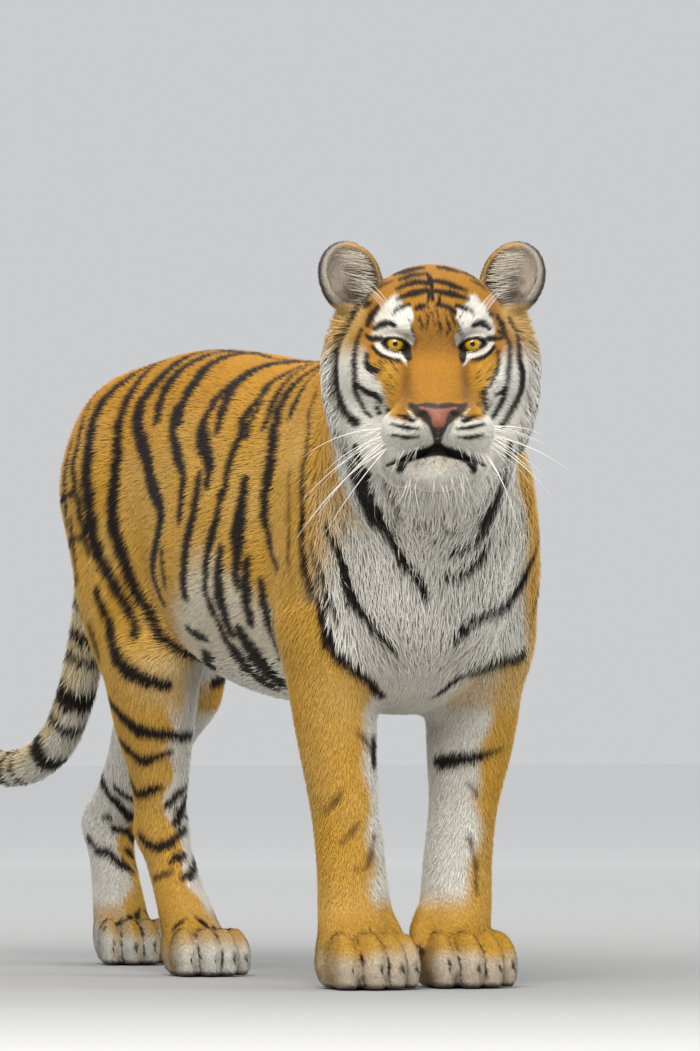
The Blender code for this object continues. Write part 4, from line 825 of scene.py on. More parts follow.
# Outlines in (x, z) on the face, in the head's own frame, for its left side; the right side mirrors them.
BROW_WHITE = ((.086, .014), (.080, .038), (.070, .055), (.056, .070), (.046, .067), (.044, .056),
              (.032, .050), (.029, .040), (.034, .026), (.034, .012), (.046, .013), (.066, .016))
EYE_WHITE = ((.082, .002), (.081, -.006), (.070, -.014), (.056, -.020), (.046, -.022), (.040, -.030),
             (.040, -.016), (.050, -.014), (.062, -.012), (.074, -.006))
INNER_WHITE = ((.040, .012), (.029, .016), (.028, .004), (.033, -.006), (.037, -.002))
PAD_WHITE = ((.044, -.093), (.036, -.108), (.044, -.112), (.058, -.108), (.072, -.104), (.080, -.120),
             (.076, -.150), (.050, -.165), (.0, -.160), (.0, -.122), (.020, -.112), (.036, -.100))
NOSE_LEATHER = ((.0, -.0865), (.016, -.0845), (.030, -.087), (.0405, -.0825), (.0415, -.089), (.033, -.099),
                (.022, -.108), (.0135, -.117), (.009, -.127), (.0045, -.142), (.0, -.146), (.0, -.120),
                (.0, -.1))
NOSE_PINK = ((.0, -.0955), (.012, -.0930), (.0265, -.0900), (.0245, -.0935), (.0150, -.0975), (.0110, -.104),
             (.0090, -.112), (.007, -.1185), (.0, -.1195), (.0, -.105))

ORANGE = np.array((0.680, 0.362, 0.042))
DEEP = np.array((0.540, 0.245, 0.012))
FACE_ORANGE = np.array((0.450, 0.200, 0.020))
CREAM = np.array((0.720, 0.580, 0.340))
WHITE = np.array((0.840, 0.810, 0.720))
BLACK = np.array((0.0150, 0.0100, 0.0075))
BROWN = np.array((0.085, 0.036, 0.012))
EAR_GREY = np.array((0.40, 0.34, 0.27))
EAR_DARK = np.array((0.060, 0.045, 0.034))
PINK = np.array((0.270, 0.088, 0.050))


# ---------------------------------------------------------------- where the coat is long or short


def smoothstep(low, high, value):
    t = np.clip((value - low) / (high - low), 0.0, 1.0)
    return t * t * (3.0 - 2.0 * t)


def around(centre, reach, points):
    """1 in the middle of an ellipsoid, falling to 0 at its surface."""
    return smoothstep(1.0, 0.45, np.sqrt((((points - np.array(centre)) / np.array(reach)) ** 2).sum(1)))


def unit(vectors):
    return vectors / np.maximum(np.linalg.norm(vectors, axis=1), 1e-9)[:, None]


HEAD_AT, HEAD_AXES = head_frame()


def to_head(points):
    return (points - HEAD_AT) @ HEAD_AXES


def from_head(points):
    return HEAD_AT + np.asarray(points, float) @ HEAD_AXES.T


def tail_line():
    """(points, distance along) of the tail's axis, its radius in the fourth column."""
    rows = spline(TAIL, 12)
    steps = np.linalg.norm(np.diff(rows[:, :3], axis=0), axis=1)
    return rows, np.concatenate([[0.0], np.cumsum(steps)])


def on_tail(points):
    """(how much a point is on the tail, distance along it, direction towards its tip)."""
    rows, along = tail_line()
    far = np.flatnonzero(points[:, 1] > TAIL[0][1] - 0.02)
    share, where, way = np.zeros(len(points)), np.zeros(len(points)), np.zeros((len(points), 3))
    if len(far):
        gaps = np.linalg.norm(points[far, None] - rows[None, :, :3], axis=2)
        nearest = gaps.argmin(1)
        share[far] = (smoothstep(1.45, 1.12, gaps.min(1) / rows[nearest, 3])
                      * smoothstep(0.0, 0.10, along[nearest]))
        where[far] = along[nearest]
        way[far] = unit(np.gradient(rows[:, :3], axis=0))[nearest]
    return share, where, way


def ear_places(h):
    """For each side, a point of the head's frame in the ear's own axes, in shares of its cup's size."""
    for sign in (RIGHT, LEFT):
        middle, tilt = ear_frame(sign)
        yield sign, (h - middle) @ tilt / EAR_SIZE


# Depth of the coat, length and width of its tufts, in metres
BODY_COAT = (0.006, 0.0175, 0.0023)
BELLY_COAT = (0.008, 0.034, 0.0028)
CHEST_COAT = (0.008, 0.034, 0.0022)
NECK_COAT = (0.008, 0.028, 0.0025)
LEG_COAT = (0.004, 0.014, 0.0020)
PAW_COAT = (0.0022, 0.0085, 0.0017)
TAIL_COAT = (0.006, 0.022, 0.0024)
HEAD_COAT = (0.0032, 0.011, 0.0015)
RUFF_COAT = (0.011, 0.036, 0.0019)
THROAT_COAT = (0.007, 0.024, 0.0017)
MUZZLE_COAT = (0.0025, 0.009, 0.0014)
BRIDGE_COAT = (0.0018, 0.0065, 0.0013)
EYE_COAT = (0.0014, 0.0065, 0.0012)
EAR_COAT = (0.0020, 0.011, 0.0016)
BARE = (0.0, 0.004, 0.0012)


def coat_numbers(points):
    """(depth, length, width) of the coat at each point, changing smoothly from one part to the next."""
    found = np.tile(BODY_COAT, (len(points), 1))

    def change(weight, numbers):
        np.add(found, weight[:, None] * (np.array(numbers) - found), out=found)

    x, y, z = points.T
    h = to_head(points)
    hx, hy, hz = np.abs(h[:, 0]), h[:, 1], h[:, 2]
    middle = smoothstep(0.10, 0.16, y) * smoothstep(0.54, 0.47, y) * smoothstep(0.28, 0.33, z)
    change(smoothstep(0.50, 0.43, z) * middle, BELLY_COAT)
    chest = smoothstep(-0.02, -0.08, y) * smoothstep(0.40, 0.47, z) * smoothstep(0.17, 0.12, np.abs(x + 0.03))
    change(chest, CHEST_COAT)
    change(smoothstep(0.02, -0.10, y) * smoothstep(0.66, 0.74, z), NECK_COAT)
    change(smoothstep(0.50, 0.42, z) * (1.0 - middle), LEG_COAT)
    change(smoothstep(0.16, 0.10, z) * (1.0 - middle), PAW_COAT)
    change(on_tail(points)[0], TAIL_COAT)
    head = smoothstep(0.150, 0.115, hy) * smoothstep(-0.235, -0.20, hz)
    change(head, HEAD_COAT)
    ruff = (smoothstep(0.100, 0.135, hx + 0.35 * hy) * smoothstep(0.030, 0.070, hy)
            * smoothstep(0.055, 0.015, hz))
    change(ruff * smoothstep(0.19, 0.14, hy), RUFF_COAT)
    change(head * smoothstep(-0.150, -0.185, hz) * smoothstep(-0.085, -0.050, hy), THROAT_COAT)
    change(head * smoothstep(-0.030, -0.062, hy) * smoothstep(-0.175, -0.155, hz), MUZZLE_COAT)
    bridge = smoothstep(0.048, 0.034, hx) * smoothstep(0.010, -0.020, hy) * smoothstep(-0.105, -0.095, hz)
    change(head * bridge, BRIDGE_COAT)
    for _, q in ear_places(h):
        change(smoothstep(1.30, 1.12, np.sqrt((q ** 2).sum(1))) * smoothstep(0.045, 0.058, hz), EAR_COAT)
    change(around((EYE_X, -0.010, 0.000), (0.046, 0.050, 0.034), np.stack([hx, hy, hz], 1)), EYE_COAT)
    change(lid_share(h), BARE)
    change(smoothstep(0.004, -0.001, leather_gap(h)), BARE)
    change(lip_share(h), BARE)
    change(smoothstep(0.014, 0.004, z), BARE)
    return found


def outline_gap(x, z, corners):
    """Distance outside a closed outline; negative inside."""
    corners = np.asarray(corners, float)
    gap = np.full(len(x), np.inf)
    inside = np.zeros(len(x), bool)
    for (ax, az), (bx, bz) in zip(corners, np.roll(corners, -1, 0)):
        ex, ez = bx - ax, bz - az
        t = np.clip(((x - ax) * ex + (z - az) * ez) / (ex * ex + ez * ez + 1e-12), 0.0, 1.0)
        gap = np.minimum(gap, np.hypot(x - ax - t * ex, z - az - t * ez))
        crosses = (az > z) != (bz > z)
        inside ^= crosses & (x < ax + (z - az) * ex / (ez if ez else 1e-9))
    return np.where(inside, -gap, gap)


def leather_gap(h):
    """Distance outside the bare leather of the nose."""
    return np.maximum(outline_gap(np.abs(h[:, 0]), h[:, 2], NOSE_LEATHER), h[:, 1] + 0.088)


def lip_share(h):
    """1 on the dark lips and in the mouth, where the jaws part."""
    hx, hy, hz = np.abs(h[:, 0]), h[:, 1], h[:, 2]
    middle = np.interp(hx, (0.0, 0.028, 0.047, 0.056), (-0.1475, -0.1545, -0.1640, -0.1680))
    half = np.interp(hx, (0.0, 0.028, 0.047, 0.056), (0.0095, 0.0085, 0.0060, 0.0035))
    height = smoothstep(0.002, -0.001, np.abs(hz - middle) - half)
    return height * smoothstep(0.060, 0.054, hx) * smoothstep(-0.02, -0.04, hy)


def lid_reach(h):
    """How far out from the middle of the eye each point is, 1 at the outer edge of the lids' bare rims."""
    hx = np.abs(h[:, 0])
    slant = math.radians(14)
    across = (hx - EYE_X + 0.001) * math.cos(slant) + (h[:, 2] + 0.001) * math.sin(slant)
    up = -(hx - EYE_X + 0.001) * math.sin(slant) + (h[:, 2] + 0.001) * math.cos(slant)
    return np.sqrt((across / 0.0215) ** 2 + (up / 0.0110) ** 2)


def lid_share(h):
    """1 on the bare rims of the eyelids and in the inner corners of the eyes."""
    corner = np.hypot((np.abs(h[:, 0]) - 0.0375) / 0.0055, (h[:, 2] + 0.0125) / 0.0085)
    return smoothstep(1.10, 1.00, np.minimum(lid_reach(h), corner)) * smoothstep(0.010, 0.000, h[:, 1])


# ---------------------------------------------------------------- skin


def skin_depth(points):
    """How far each point is outside the skin, which lies below the coat's surface by the coat's depth."""
    return body_depth(points) + coat_numbers(points)[:, 0]


SKIN_HEAD_STEP, SKIN_BODY_STEP = 0.0028, 0.0075
# How far back in the head's frame its fine mesh ends and the body's starts
HEAD_END, BODY_START = 0.150, 0.157


def skin_patch(low, high, step, keep):
    """Points and quads of the skin in a box, for the quads whose corners are all kept."""
    points, quads = surface_net(depth_grid(skin_depth, low, high, step), low, step)
    points = settle(skin_depth, points, 2)
    quads = quads[keep(to_head(points)[:, 1])[quads].all(1)]
    used, index = np.unique(quads, return_inverse=True)
    return points[used], index.reshape(quads.shape)


def border(quads):
    """The open edge of a patch, as one loop of point numbers."""
    ends = np.concatenate([quads[:, [i, (i + 1) % 4]] for i in range(4)])
    backwards = {(b, a) for a, b in ends.tolist()}
    following = {a: b for a, b in ends.tolist() if (a, b) not in backwards}
    loops = []
    while following:
        start, here = following.popitem()
        loop = [start]
        while here != start:
            loop.append(here)
            here = following.pop(here)
        loops.append(loop)
    return max(loops, key=len)


def round_neck(points, loop):
    """The loop started at one side of the neck and run one way round, with each point's growing angle."""
    h = to_head(points[loop])
    angle = np.unwrap(np.arctan2(h[:, 0] - h[:, 0].mean(), h[:, 2] - h[:, 2].mean()))
    loop = np.array(loop)
    if angle[-1] < angle[0]:
        loop, angle = loop[::-1], angle[::-1]
    start = np.argmin(np.mod(angle, 2 * math.pi))
    loop, angle = np.roll(loop, -start), np.mod(np.roll(angle, -start), 2 * math.pi)
    angle = np.unwrap(angle)
    return loop, np.maximum.accumulate(angle - angle[0])


def skin_mesh():
    """(points, triangles): a fine head and a coarser body, joined round the neck by a band of triangles."""
    fine, fine_quads = skin_patch(HEAD_LOW, HEAD_HIGH, SKIN_HEAD_STEP, lambda back: back < HEAD_END)
    wide, wide_quads = skin_patch(LOW, HIGH, SKIN_BODY_STEP, lambda back: back > BODY_START)
    wide_quads = wide_quads + len(fine)
    points = np.vstack([fine, wide])
    one, one_angle = round_neck(points, border(fine_quads))
    two, two_angle = round_neck(points, border(wide_quads))
    one, two = np.append(one, one[0]), np.append(two, two[0])
    one_angle, two_angle = np.append(one_angle, 2 * math.pi), np.append(two_angle, 2 * math.pi)
    band, i, j = [], 0, 0
    while i < len(one) - 1 or j < len(two) - 1:
        if j == len(two) - 1 or (i < len(one) - 1 and one_angle[i + 1] < two_angle[j + 1]):
            band.append((one[i], one[i + 1], two[j]))
            i += 1
        else:
            band.append((one[i], two[j + 1], two[j]))
            j += 1
    quads = np.vstack([fine_quads, wide_quads])
    points[:, 2] = np.maximum(points[:, 2], 0.0)  # the soles are flat
    return points, np.vstack([quads[:, [0, 1, 2]], quads[:, [0, 2, 3]], band])


# ---------------------------------------------------------------- markings on the skin


# How a distance counts along x, y and z: a stroke is wider along the body, and on the face it keeps its
# width, seen from before the face, however much the cheek slopes.
EVEN_REACH = np.eye(3)
SIDE_REACH = np.diag((1.0, 0.70, 1.0))
FRONT_REACH = np.diag((0.9, 0.45, 1.0))
FACE_REACH = np.diag((1.0, 0.25, 1.0)) @ HEAD_AXES.T


def strokes(rows, place, reach=EVEN_REACH, wider=0.0):
    """Each stroke as (rows of x, y, z and half-width every few millimetres, how its distances count). place
    puts a chart's point on the skin."""
    made = []
    for widths, corners in rows:
        line = spline(corners, 8)
        steps = np.linalg.norm(np.diff(line, axis=0), axis=1)
        along = np.concatenate([[0.0], np.cumsum(steps)])
        even = np.linspace(0.0, along[-1], max(2, int(along[-1] / 0.003)))
        half = wider + np.interp(even / along[-1], (0.0, 0.5, 1.0), widths)
        chart = np.stack([np.interp(even, along, column) for column in line.T], 1)
        placed = [(place(*spot), r) for spot, r in zip(chart, half)]
        found = np.array([(*point, r) for point, r in placed if point is not None])
        if len(found):
            made.append((found, reach))
    return made


def mirrored(rows, side):
    """Strokes drawn on the left half, for either side."""
    return [(widths, [(side * across, along) for across, along in corners]) for widths, corners in rows]


def cast(start, direction):
    hit = skin_tree.ray_cast(Vector(start), Vector(direction))[0]
    return None if hit is None else np.array(hit)


def leg_shift(y, z):
    """How much further back the left hind leg is than the right one."""
    return np.interp(z, (0.0, 0.215, 0.46, 0.70), (0.555, 0.545, 0.365, 0.015)) * smoothstep(0.50, 0.64, y)


def on_side(side):
    def place(y, z):
        if side == LEFT:
            y, z = y + leg_shift(y, z) + 0.012, z - 0.006
        found = cast((side * 1.0, y, z), (-side, 0, 0))
        if found is None or found[0] * side < -0.01:
            found = np.array(skin_tree.find_nearest(Vector((side * 0.02, y, z)))[0])
        return found
    return place


def nearest(x, y, z):
    return np.array(skin_tree.find_nearest(Vector((x, y, z)))[0])


def on_hind_leg(side, drawn):
    """Puts a point drawn for one hind leg on that leg, or at its place on the other one."""
    def place(x, y, z):
        if side != drawn:
            x, y = -x, y + side * leg_shift(0.7, z)
        return nearest(x, y, z)
    return place


def on_front(x, z):
    found = cast((x, -0.28, z), (0, 1, 0))
    return None if found is None or found[1] > 0.06 else found


def from_behind(x, z):
    found = cast((x, 2.0, z), (0, -1, 0))
    return None if found is None or found[1] < 0.60 else found


def on_back(x, y):
    return cast((x, y, 2.0), (0, 0, -1))


def on_face(x, z):
    return cast(from_head((x, -0.5, z)), HEAD_AXES[:, 1])


def on_crown(x, y):
    return cast(from_head((x, y, 0.4)), -HEAD_AXES[:, 2])


def tail_rings():
    rows, along = tail_line()
    made = []
    for distance, half in TAIL_RINGS:
        x, y, z, r = (np.interp(distance, along, rows[:, i]) for i in range(4))
        way = unit(np.gradient(rows[:, :3], axis=0))[np.abs(along - distance).argmin()]
        side = np.cross(way, (0.3, 0.2, 1.0))
        side /= np.linalg.norm(side)
        other = np.cross(way, side)
        ring = [(x, y, z) + 0.85 * r * (side * math.cos(t) + other * math.sin(t)) + way * 0.006 * math.sin(t)
                for t in np.linspace(0, 2 * math.pi, 40)]
        made.append((np.array([(*point, half) for point in ring]), EVEN_REACH))
    return made


def over_back(side):
    """The strokes that reach the top of the side, carried on to the middle of the back."""
    rows = []
    for widths, corners in SIDE_STROKES:
        if corners[0][1] > 0.84:
            x, y, _ = on_side(side)(*corners[0])
            rows.append(((widths[0], widths[0], 0.003), ((x, y), (0.5 * x, y - 0.008), (0.0, y - 0.020))))
    return strokes(rows, on_back, SIDE_REACH, 0.001)


def toe_and_claw_shade():
    """Painted shade between the toes, from the knuckles to the floor, and painted shadow round each claw."""
    made = []
    for legs, (width, length, height) in ((FORE_LEGS, FORE_PAW), (HIND_LEGS, HIND_PAW)):
        for leg in legs.values():
            spin = turned(leg["turn"], "Z")
            for gap, ahead in ((-1.0, 0.40), (0.0, 0.49), (1.0, 0.40)):
                x = gap * width * 0.25
                line = [np.array(leg["paw"]) + spin @ (x, -share * length, z * height)
                        for share, z in ((0.16, 1.02), (ahead - 0.10, 0.80), (ahead, 0.42), (ahead, 0.12))]
                made += strokes([((0.0008, 0.0020, 0.0026), line)], nearest)
    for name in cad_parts:
        if name.startswith("claw"):
            low, high = (np.array(corner) - to_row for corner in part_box(name))
            x, y, z = (low + high) / 2
            made += strokes([((0.0016, 0.0024, 0.0016), ((x, low[1], z + 0.007), (x, low[1], z - 0.004)))],
                            nearest)
    return made


# Added to the half-widths, because the coat lies over the edges of the strokes
BODY_WIDER, REAR_WIDER, HIND_WIDER, FACE_WIDER, THIN_WIDER = 0.0028, 0.0028, 0.0022, 0.0009, 0.001


def all_strokes():
    """(black, brown): every stroke as strokes() gives it."""
    # the black strokes also carry painted shade between the toes and round the claws
    black = tail_rings() + toe_and_claw_shade() + strokes(CHEST_STROKES, nearest, EVEN_REACH, BODY_WIDER)
    brown = strokes(FRONT_BROWN, on_front, FRONT_REACH, THIN_WIDER) + strokes(CHEST_BROWN, nearest)
    for side in (RIGHT, LEFT):
        black += strokes(SIDE_STROKES, on_side(side), SIDE_REACH, BODY_WIDER) + over_back(side)
        brown += strokes(SIDE_BROWN, on_side(side), SIDE_REACH, THIN_WIDER)
        for drawn, rows in HIND_STROKES.items():
            black += strokes(rows, on_hind_leg(side, drawn), EVEN_REACH, HIND_WIDER)
        black += strokes(mirrored(RUMP_STROKES, side), on_back, SIDE_REACH)
        black += strokes(mirrored(REAR_STROKES, side), from_behind, FRONT_REACH, REAR_WIDER)
        black += strokes(mirrored(MUZZLE_STROKES, side), on_face, FACE_REACH, FACE_WIDER)
    black += strokes(SPINE, on_back)
    black += strokes(FRONT_STROKES, on_front, FRONT_REACH, THIN_WIDER) + strokes(CROWN_STROKES, on_crown)
    black += strokes(FACE_STROKES, on_face, FACE_REACH, FACE_WIDER)
    for sign in (RIGHT, LEFT):
        for _ in range(FRECKLES):
            x, z = sign * rng.uniform(0.054, 0.086), rng.uniform(-0.088, -0.026)
            dot = ((0.0012, rng.uniform(0.0013, 0.0025), 0.0012), ((x, z), (x + sign * 0.003, z + 0.003)))
            black += strokes([dot], on_face, FACE_REACH)
        for _ in range(PAD_DOTS):
            x, z = sign * rng.uniform(0.028, 0.068), rng.uniform(-0.138, -0.092)
            dot = ((0.0009, rng.uniform(0.0010, 0.0017), 0.0009), ((x, z), (x + sign * 0.003, z + 0.001)))
            black += strokes([dot], on_face, FACE_REACH)
        for _ in range(CHIN_DOTS):
            x, z = sign * rng.uniform(0.003, 0.030), rng.uniform(-0.172, -0.157)
            black += strokes([((0.0008, 0.0012, 0.0008), ((x, z), (x, z - 0.002)))], on_face, FACE_REACH)
    for _ in range(FLECKS):
        x, z = rng.uniform(-0.036, 0.036), rng.uniform(0.010, 0.052)
        fleck = ((0.0006, rng.uniform(0.0011, 0.0020), 0.0006), ((x, z), (1.15 * x, z + 0.009)))
        black += strokes([fleck], on_face, FACE_REACH)
    return black, brown


def ripple(points, size):
    """A smooth irregular number about 0, changing over this distance."""
    q = points / size
    return (np.sin(q @ (1.0, 2.1, 0.7)) + np.sin(q @ (-1.7, 0.9, 1.3) + 1.3)
            + np.sin(q @ (0.6, -1.1, 2.3) + 4.0)) / 3


def stroke_gap(points, lines):
    """Distance outside the nearest stroke; negative inside."""
    found = np.full(len(points), 0.03)
    for line, reach in lines:
        low, high = line[:, :3].min(0) - 0.035, line[:, :3].max(0) + 0.035
        near = np.flatnonzero(((points > low) & (points < high)).all(1))
        if len(near):
            apart = (points[near, None] - line[None, :, :3]) @ reach.T
            found[near] = np.minimum(found[near], (np.linalg.norm(apart, axis=2) - line[None, :, 3]).min(1))
    return found


def mixed(colour, other, share):
    return colour + share[:, None] * (other - colour)


def face_colour(h, base):
    """The face's ground colours, without its black strokes."""
    x, y, z = h.T
    hx = np.abs(x)
    wave = 0.0010 * ripple(h, 0.005)
    colour = mixed(base, FACE_ORANGE, smoothstep(0.15, 0.10, y))
    golden = smoothstep(0.075, 0.105, hx) * smoothstep(0.02, 0.05, y)
    colour = mixed(colour, 0.6 * ORANGE + 0.4 * CREAM, 0.85 * golden)
    light = 0.75 * smoothstep(0.045, 0.062, hx) * smoothstep(0.105, 0.085, hx) * smoothstep(-0.01, -0.03, z)
    colour = mixed(colour, ORANGE, light * smoothstep(-0.115, -0.095, z))
    # painted shade down both flanks of the nose bridge (slope); browner between the eyes (brow), and a brown
    # mottle all over
    slope = smoothstep(0.012, 0.0, np.abs(hx - 0.040 - 0.05 * (z + 0.05)))
    slope = slope * smoothstep(0.0, -0.03, z) * smoothstep(-0.085, -0.07, z)
    brow = smoothstep(0.045, 0.030, hx) * smoothstep(0.05, 0.01, z) * smoothstep(-0.03, 0.0, z)
    mottle = 0.5 + 0.5 * ripple(h, 0.0022)
    colour = mixed(colour, BROWN, 0.40 * slope + (0.26 + 0.22 * mottle) * brow + 0.10 * mottle)
    limit = np.interp(z, (-0.10, -0.08, -0.06, -0.04, -0.02, 0.0, 0.03),
                      (.066, .069, .074, .084, .092, .097, .104))
    white = smoothstep(-0.004, 0.004, hx - limit + 2 * wave) * smoothstep(0.012, -0.035, z)

    def whiten(share):
        np.maximum(white, share, out=white)

    whiten(smoothstep(-0.150, -0.160, z))
    whiten(smoothstep(0.126, 0.138, hx) * smoothstep(0.005, -0.045, z))
    whiten(smoothstep(-0.100, -0.112, z) * smoothstep(0.070, 0.080, hx))
    for shape in (BROW_WHITE, EYE_WHITE, INNER_WHITE, PAD_WHITE):
        whiten(smoothstep(0.0018, -0.0018, outline_gap(hx, z, shape) + wave) * (y < 0.06))
    round_lids = smoothstep(1.55, 1.40, lid_reach(h)) * smoothstep(0.036, 0.041, hx) * (y < 0.06)
    whiten(0.85 * round_lids)
    colour = mixed(colour, WHITE, np.clip(white, 0, 1))
    # painted shade on the top of the chin, under the lower lip, greying its white
    chin_top_shade = smoothstep(-0.148, -0.158, z) * smoothstep(-0.190, -0.175, z)
    chin_top_shade = chin_top_shade * smoothstep(0.05, 0.03, hx) * smoothstep(-0.05, -0.07, y)
    colour = mixed(colour, EAR_GREY, 0.6 * chin_top_shade)
    # painted shade in the hollow at the inner side of each eye socket
    shade = around((0.036, -0.002, 0.004), (0.014, 0.06, 0.022), np.stack([hx, y, z], 1))
    return mixed(colour, BROWN, 0.25 * shade)


def ear_colour(h, normals, colour):
    for sign, q in ear_places(h):
        reach = np.hypot(q[:, 0], q[:, 2])
        here = smoothstep(1.30, 1.10, np.sqrt((q ** 2).sum(1))) * smoothstep(0.050, 0.064, h[:, 2])
        facing = normals @ from_head_way((sign * 0.30, -1.0, 0.0))
        inside = smoothstep(-0.05, 0.20, facing) * smoothstep(0.965, 0.90, reach)
        low = q[:, 2] + 0.7 * sign * q[:, 0] - 0.25 * ripple(h, 0.006)
        inner = mixed(np.tile(EAR_GREY, (len(h), 1)), EAR_DARK, 0.92 * smoothstep(0.45, -0.25, low))
        inner = mixed(inner, ORANGE, 0.6 * smoothstep(0.72, 0.88, reach)
                      * smoothstep(0.1, -0.3, sign * q[:, 0]))
        back = smoothstep(0.10, -0.15, facing)
        spot = smoothstep(0.42, 0.30, np.hypot(q[:, 0] - sign * 0.15, q[:, 2] + 0.05))
        outer = mixed(np.tile(BLACK, (len(h), 1)), WHITE, spot * back)
        edge = smoothstep(-0.2, -0.55, sign * q[:, 0]) * smoothstep(0.95, 0.6, q[:, 2])
        outer = mixed(outer, FACE_ORANGE, edge * (1 - back))
        found = outer + inside[:, None] * (inner - outer)
        colour = colour + here[:, None] * (found - colour)
    return colour


def from_head_way(direction):
    way = HEAD_AXES @ np.array(direction, float)
    return way / np.linalg.norm(way)


def ground_colour(points, normals):
    """The coat's colours without the black: orange above, white below and on the insides of the legs."""
    x, y, z = points.T
    h = to_head(points)
    wave = 0.012 * ripple(points, 0.03)
    base = mixed(np.tile(ORANGE, (len(points), 1)), DEEP, smoothstep(0.70, 0.92, z + wave))
    base = mixed(base, CREAM, 0.09 * (1 + ripple(points, 0.055)) * smoothstep(0.9, 0.75, z))
    limit = np.interp(y, (0.12, 0.15, 0.22, 0.30, 0.36, 0.42, 0.50, 0.60),
                      (.49, .53, .56, .59, .60, .57, .52, .48))
    flank = smoothstep(0.05, 0.13, y) * smoothstep(0.57, 0.49, y)
    white = flank * smoothstep(0.045, -0.040, z + wave - limit)

    def whiten(share):
        np.maximum(white, share, out=white)

    underneath = smoothstep(-0.35, -0.75, normals[:, 2]) * smoothstep(0.05, 0.15, y) * (z > 0.3)
    whiten(underneath)
    chest = smoothstep(0.02, -0.05, y) * smoothstep(-0.185, -0.150, x)
    chest = chest * smoothstep(0.150, 0.115, x + 0.3 * (z - 0.58))
    edge = np.interp(x, (-.165, -.150, -.132, -.090, -.070, -.003, .015, .077, .156),
                     (.548, .484, .460, .430, .408, .405, .435, .453, .470))
    chest = chest * smoothstep(0.74, 0.68, z - 1.2 * np.maximum(-0.20 - y, 0))
    whiten(chest * smoothstep(-0.014, 0.004, z - edge))
    throat = smoothstep(-0.14, -0.20, y) * smoothstep(0.82, 0.74, z)
    whiten(throat)
    fore = smoothstep(0.17, 0.13, y) * smoothstep(0.52, 0.44, z)
    inner_right = smoothstep(-0.105, -0.080, x + wave) * (x < -0.01)
    inner_left = smoothstep(0.085, 0.060, x + wave - 0.14 * (z - 0.2)) * (x > -0.01)
    whiten(fore * np.maximum(inner_right, inner_left) * smoothstep(0.10, 0.14, z))
    hind = smoothstep(0.52, 0.58, y)
    inner = smoothstep(0.10, 0.45, -normals[:, 0] * np.sign(x)) * smoothstep(0.72, 0.62, z)
    whiten(hind * inner)
    outward = normals[:, 0] * np.sign(x) + 0.5 * wave / 0.012
    inwards = np.interp(z, (0.14, 0.22), (-0.25, 0.0))
    whiten(0.9 * hind * smoothstep(0.42, 0.36, z) * smoothstep(0.30, 0.05, outward - inwards))
    fold = smoothstep(0.58, 0.53, y) * smoothstep(0.34, 0.37, z) * smoothstep(0.46, 0.42, z)
    whiten(0.7 * hind * fold)
    colour = mixed(base, WHITE, np.clip(white, 0, 1))
    # creamier white up the lower flank: partly the coat's own cream, partly painted shade under the body
    colour = mixed(colour, CREAM, 0.55 * flank * smoothstep(0.42, 0.50, z) * np.clip(white, 0, 1))
    over_leg = (smoothstep(0.375, 0.405, z) * smoothstep(0.010, -0.005, z - edge)
                * smoothstep(0.02, 0.05, x + wave))
    colour = mixed(colour, 0.5 * (ORANGE + CREAM), 0.65 * fore * over_leg)
    knee = smoothstep(0.52, 0.56, y) * smoothstep(0.64, 0.54, y)
    colour = mixed(colour, CREAM, 0.7 * knee * smoothstep(0.38, 0.42, z) * smoothstep(0.50, 0.45, z))
    up = z + 0.9 * wave
    knuckles = (smoothstep(0.030, 0.050, up) * smoothstep(0.110, 0.080, up)
                * smoothstep(-0.2, 0.5, normals[:, 2]))
    colour = mixed(colour, 0.85 * ORANGE, 0.75 * knuckles)
    toes = smoothstep(0.062, 0.030, up) * smoothstep(0.5, -0.2, normals[:, 1])
    colour = mixed(colour, 0.8 * WHITE, 0.7 * toes)
    tail, along, _ = on_tail(points)
    colour = mixed(colour, CREAM, tail * smoothstep(0.22, 0.36, along))
    colour = mixed(colour, WHITE, 0.8 * tail * smoothstep(-0.1, -0.5, normals[:, 2]))
    colour = mixed(colour, BLACK, tail * (along > TAIL_TIP))
    head = smoothstep(0.175, 0.130, h[:, 1]) * smoothstep(-0.27, -0.23, h[:, 2])
    colour = colour + head[:, None] * (face_colour(h, colour) - colour)
    return ear_colour(h, normals, colour)


def coat_colour(points, normals, jitter):
    """The colour of the coat at each point. jitter frays the edges of the strokes, in metres."""
    colour = ground_colour(points, normals)
    h = to_head(points)
    on_the_face = smoothstep(0.14, 0.10, h[:, 1]) * smoothstep(-0.22, -0.19, h[:, 2])
    fray = (1.0 - 0.8 * on_the_face) * (0.0022 * ripple(points, 0.011)
                                        + 0.001 * ripple(points, 0.004)) + jitter
    soft = 0.0016 - 0.0008 * on_the_face
    faint = stroke_gap(points, brown_strokes) + fray
    colour = mixed(colour, BROWN, 0.85 * smoothstep(soft * 2, -soft * 2, faint))
    gap = stroke_gap(points, black_strokes) + fray
    return mixed(colour, BLACK, smoothstep(soft, -soft, gap))


def bare_colour(points, colour):
    """The skin's own colours where it shows: nose, lips, lids and the pads under the feet."""
    h = to_head(points)
    hx = np.abs(h[:, 0])
    leather = smoothstep(0.001, -0.001, leather_gap(h))
    edge = smoothstep(-0.0008, 0.0010, outline_gap(hx, h[:, 2], NOSE_PINK))
    rim = mixed(np.tile(PINK, (len(points), 1)), BLACK * 1.6, edge)
    colour = colour + leather[:, None] * (rim - colour)
    dark = np.maximum(lip_share(h), lid_share(h))
    colour = mixed(colour, BLACK, dark)
    return mixed(colour, np.array((0.045, 0.030, 0.026)), smoothstep(0.008, 0.003, points[:, 2]))


def bare_share(points):
    h = to_head(points)
    face = np.maximum(np.maximum(lip_share(h), lid_share(h)), smoothstep(0.001, -0.001, leather_gap(h)))
    return np.maximum(face, smoothstep(0.008, 0.003, points[:, 2]))


# ---------------------------------------------------------------- the lie of the coat


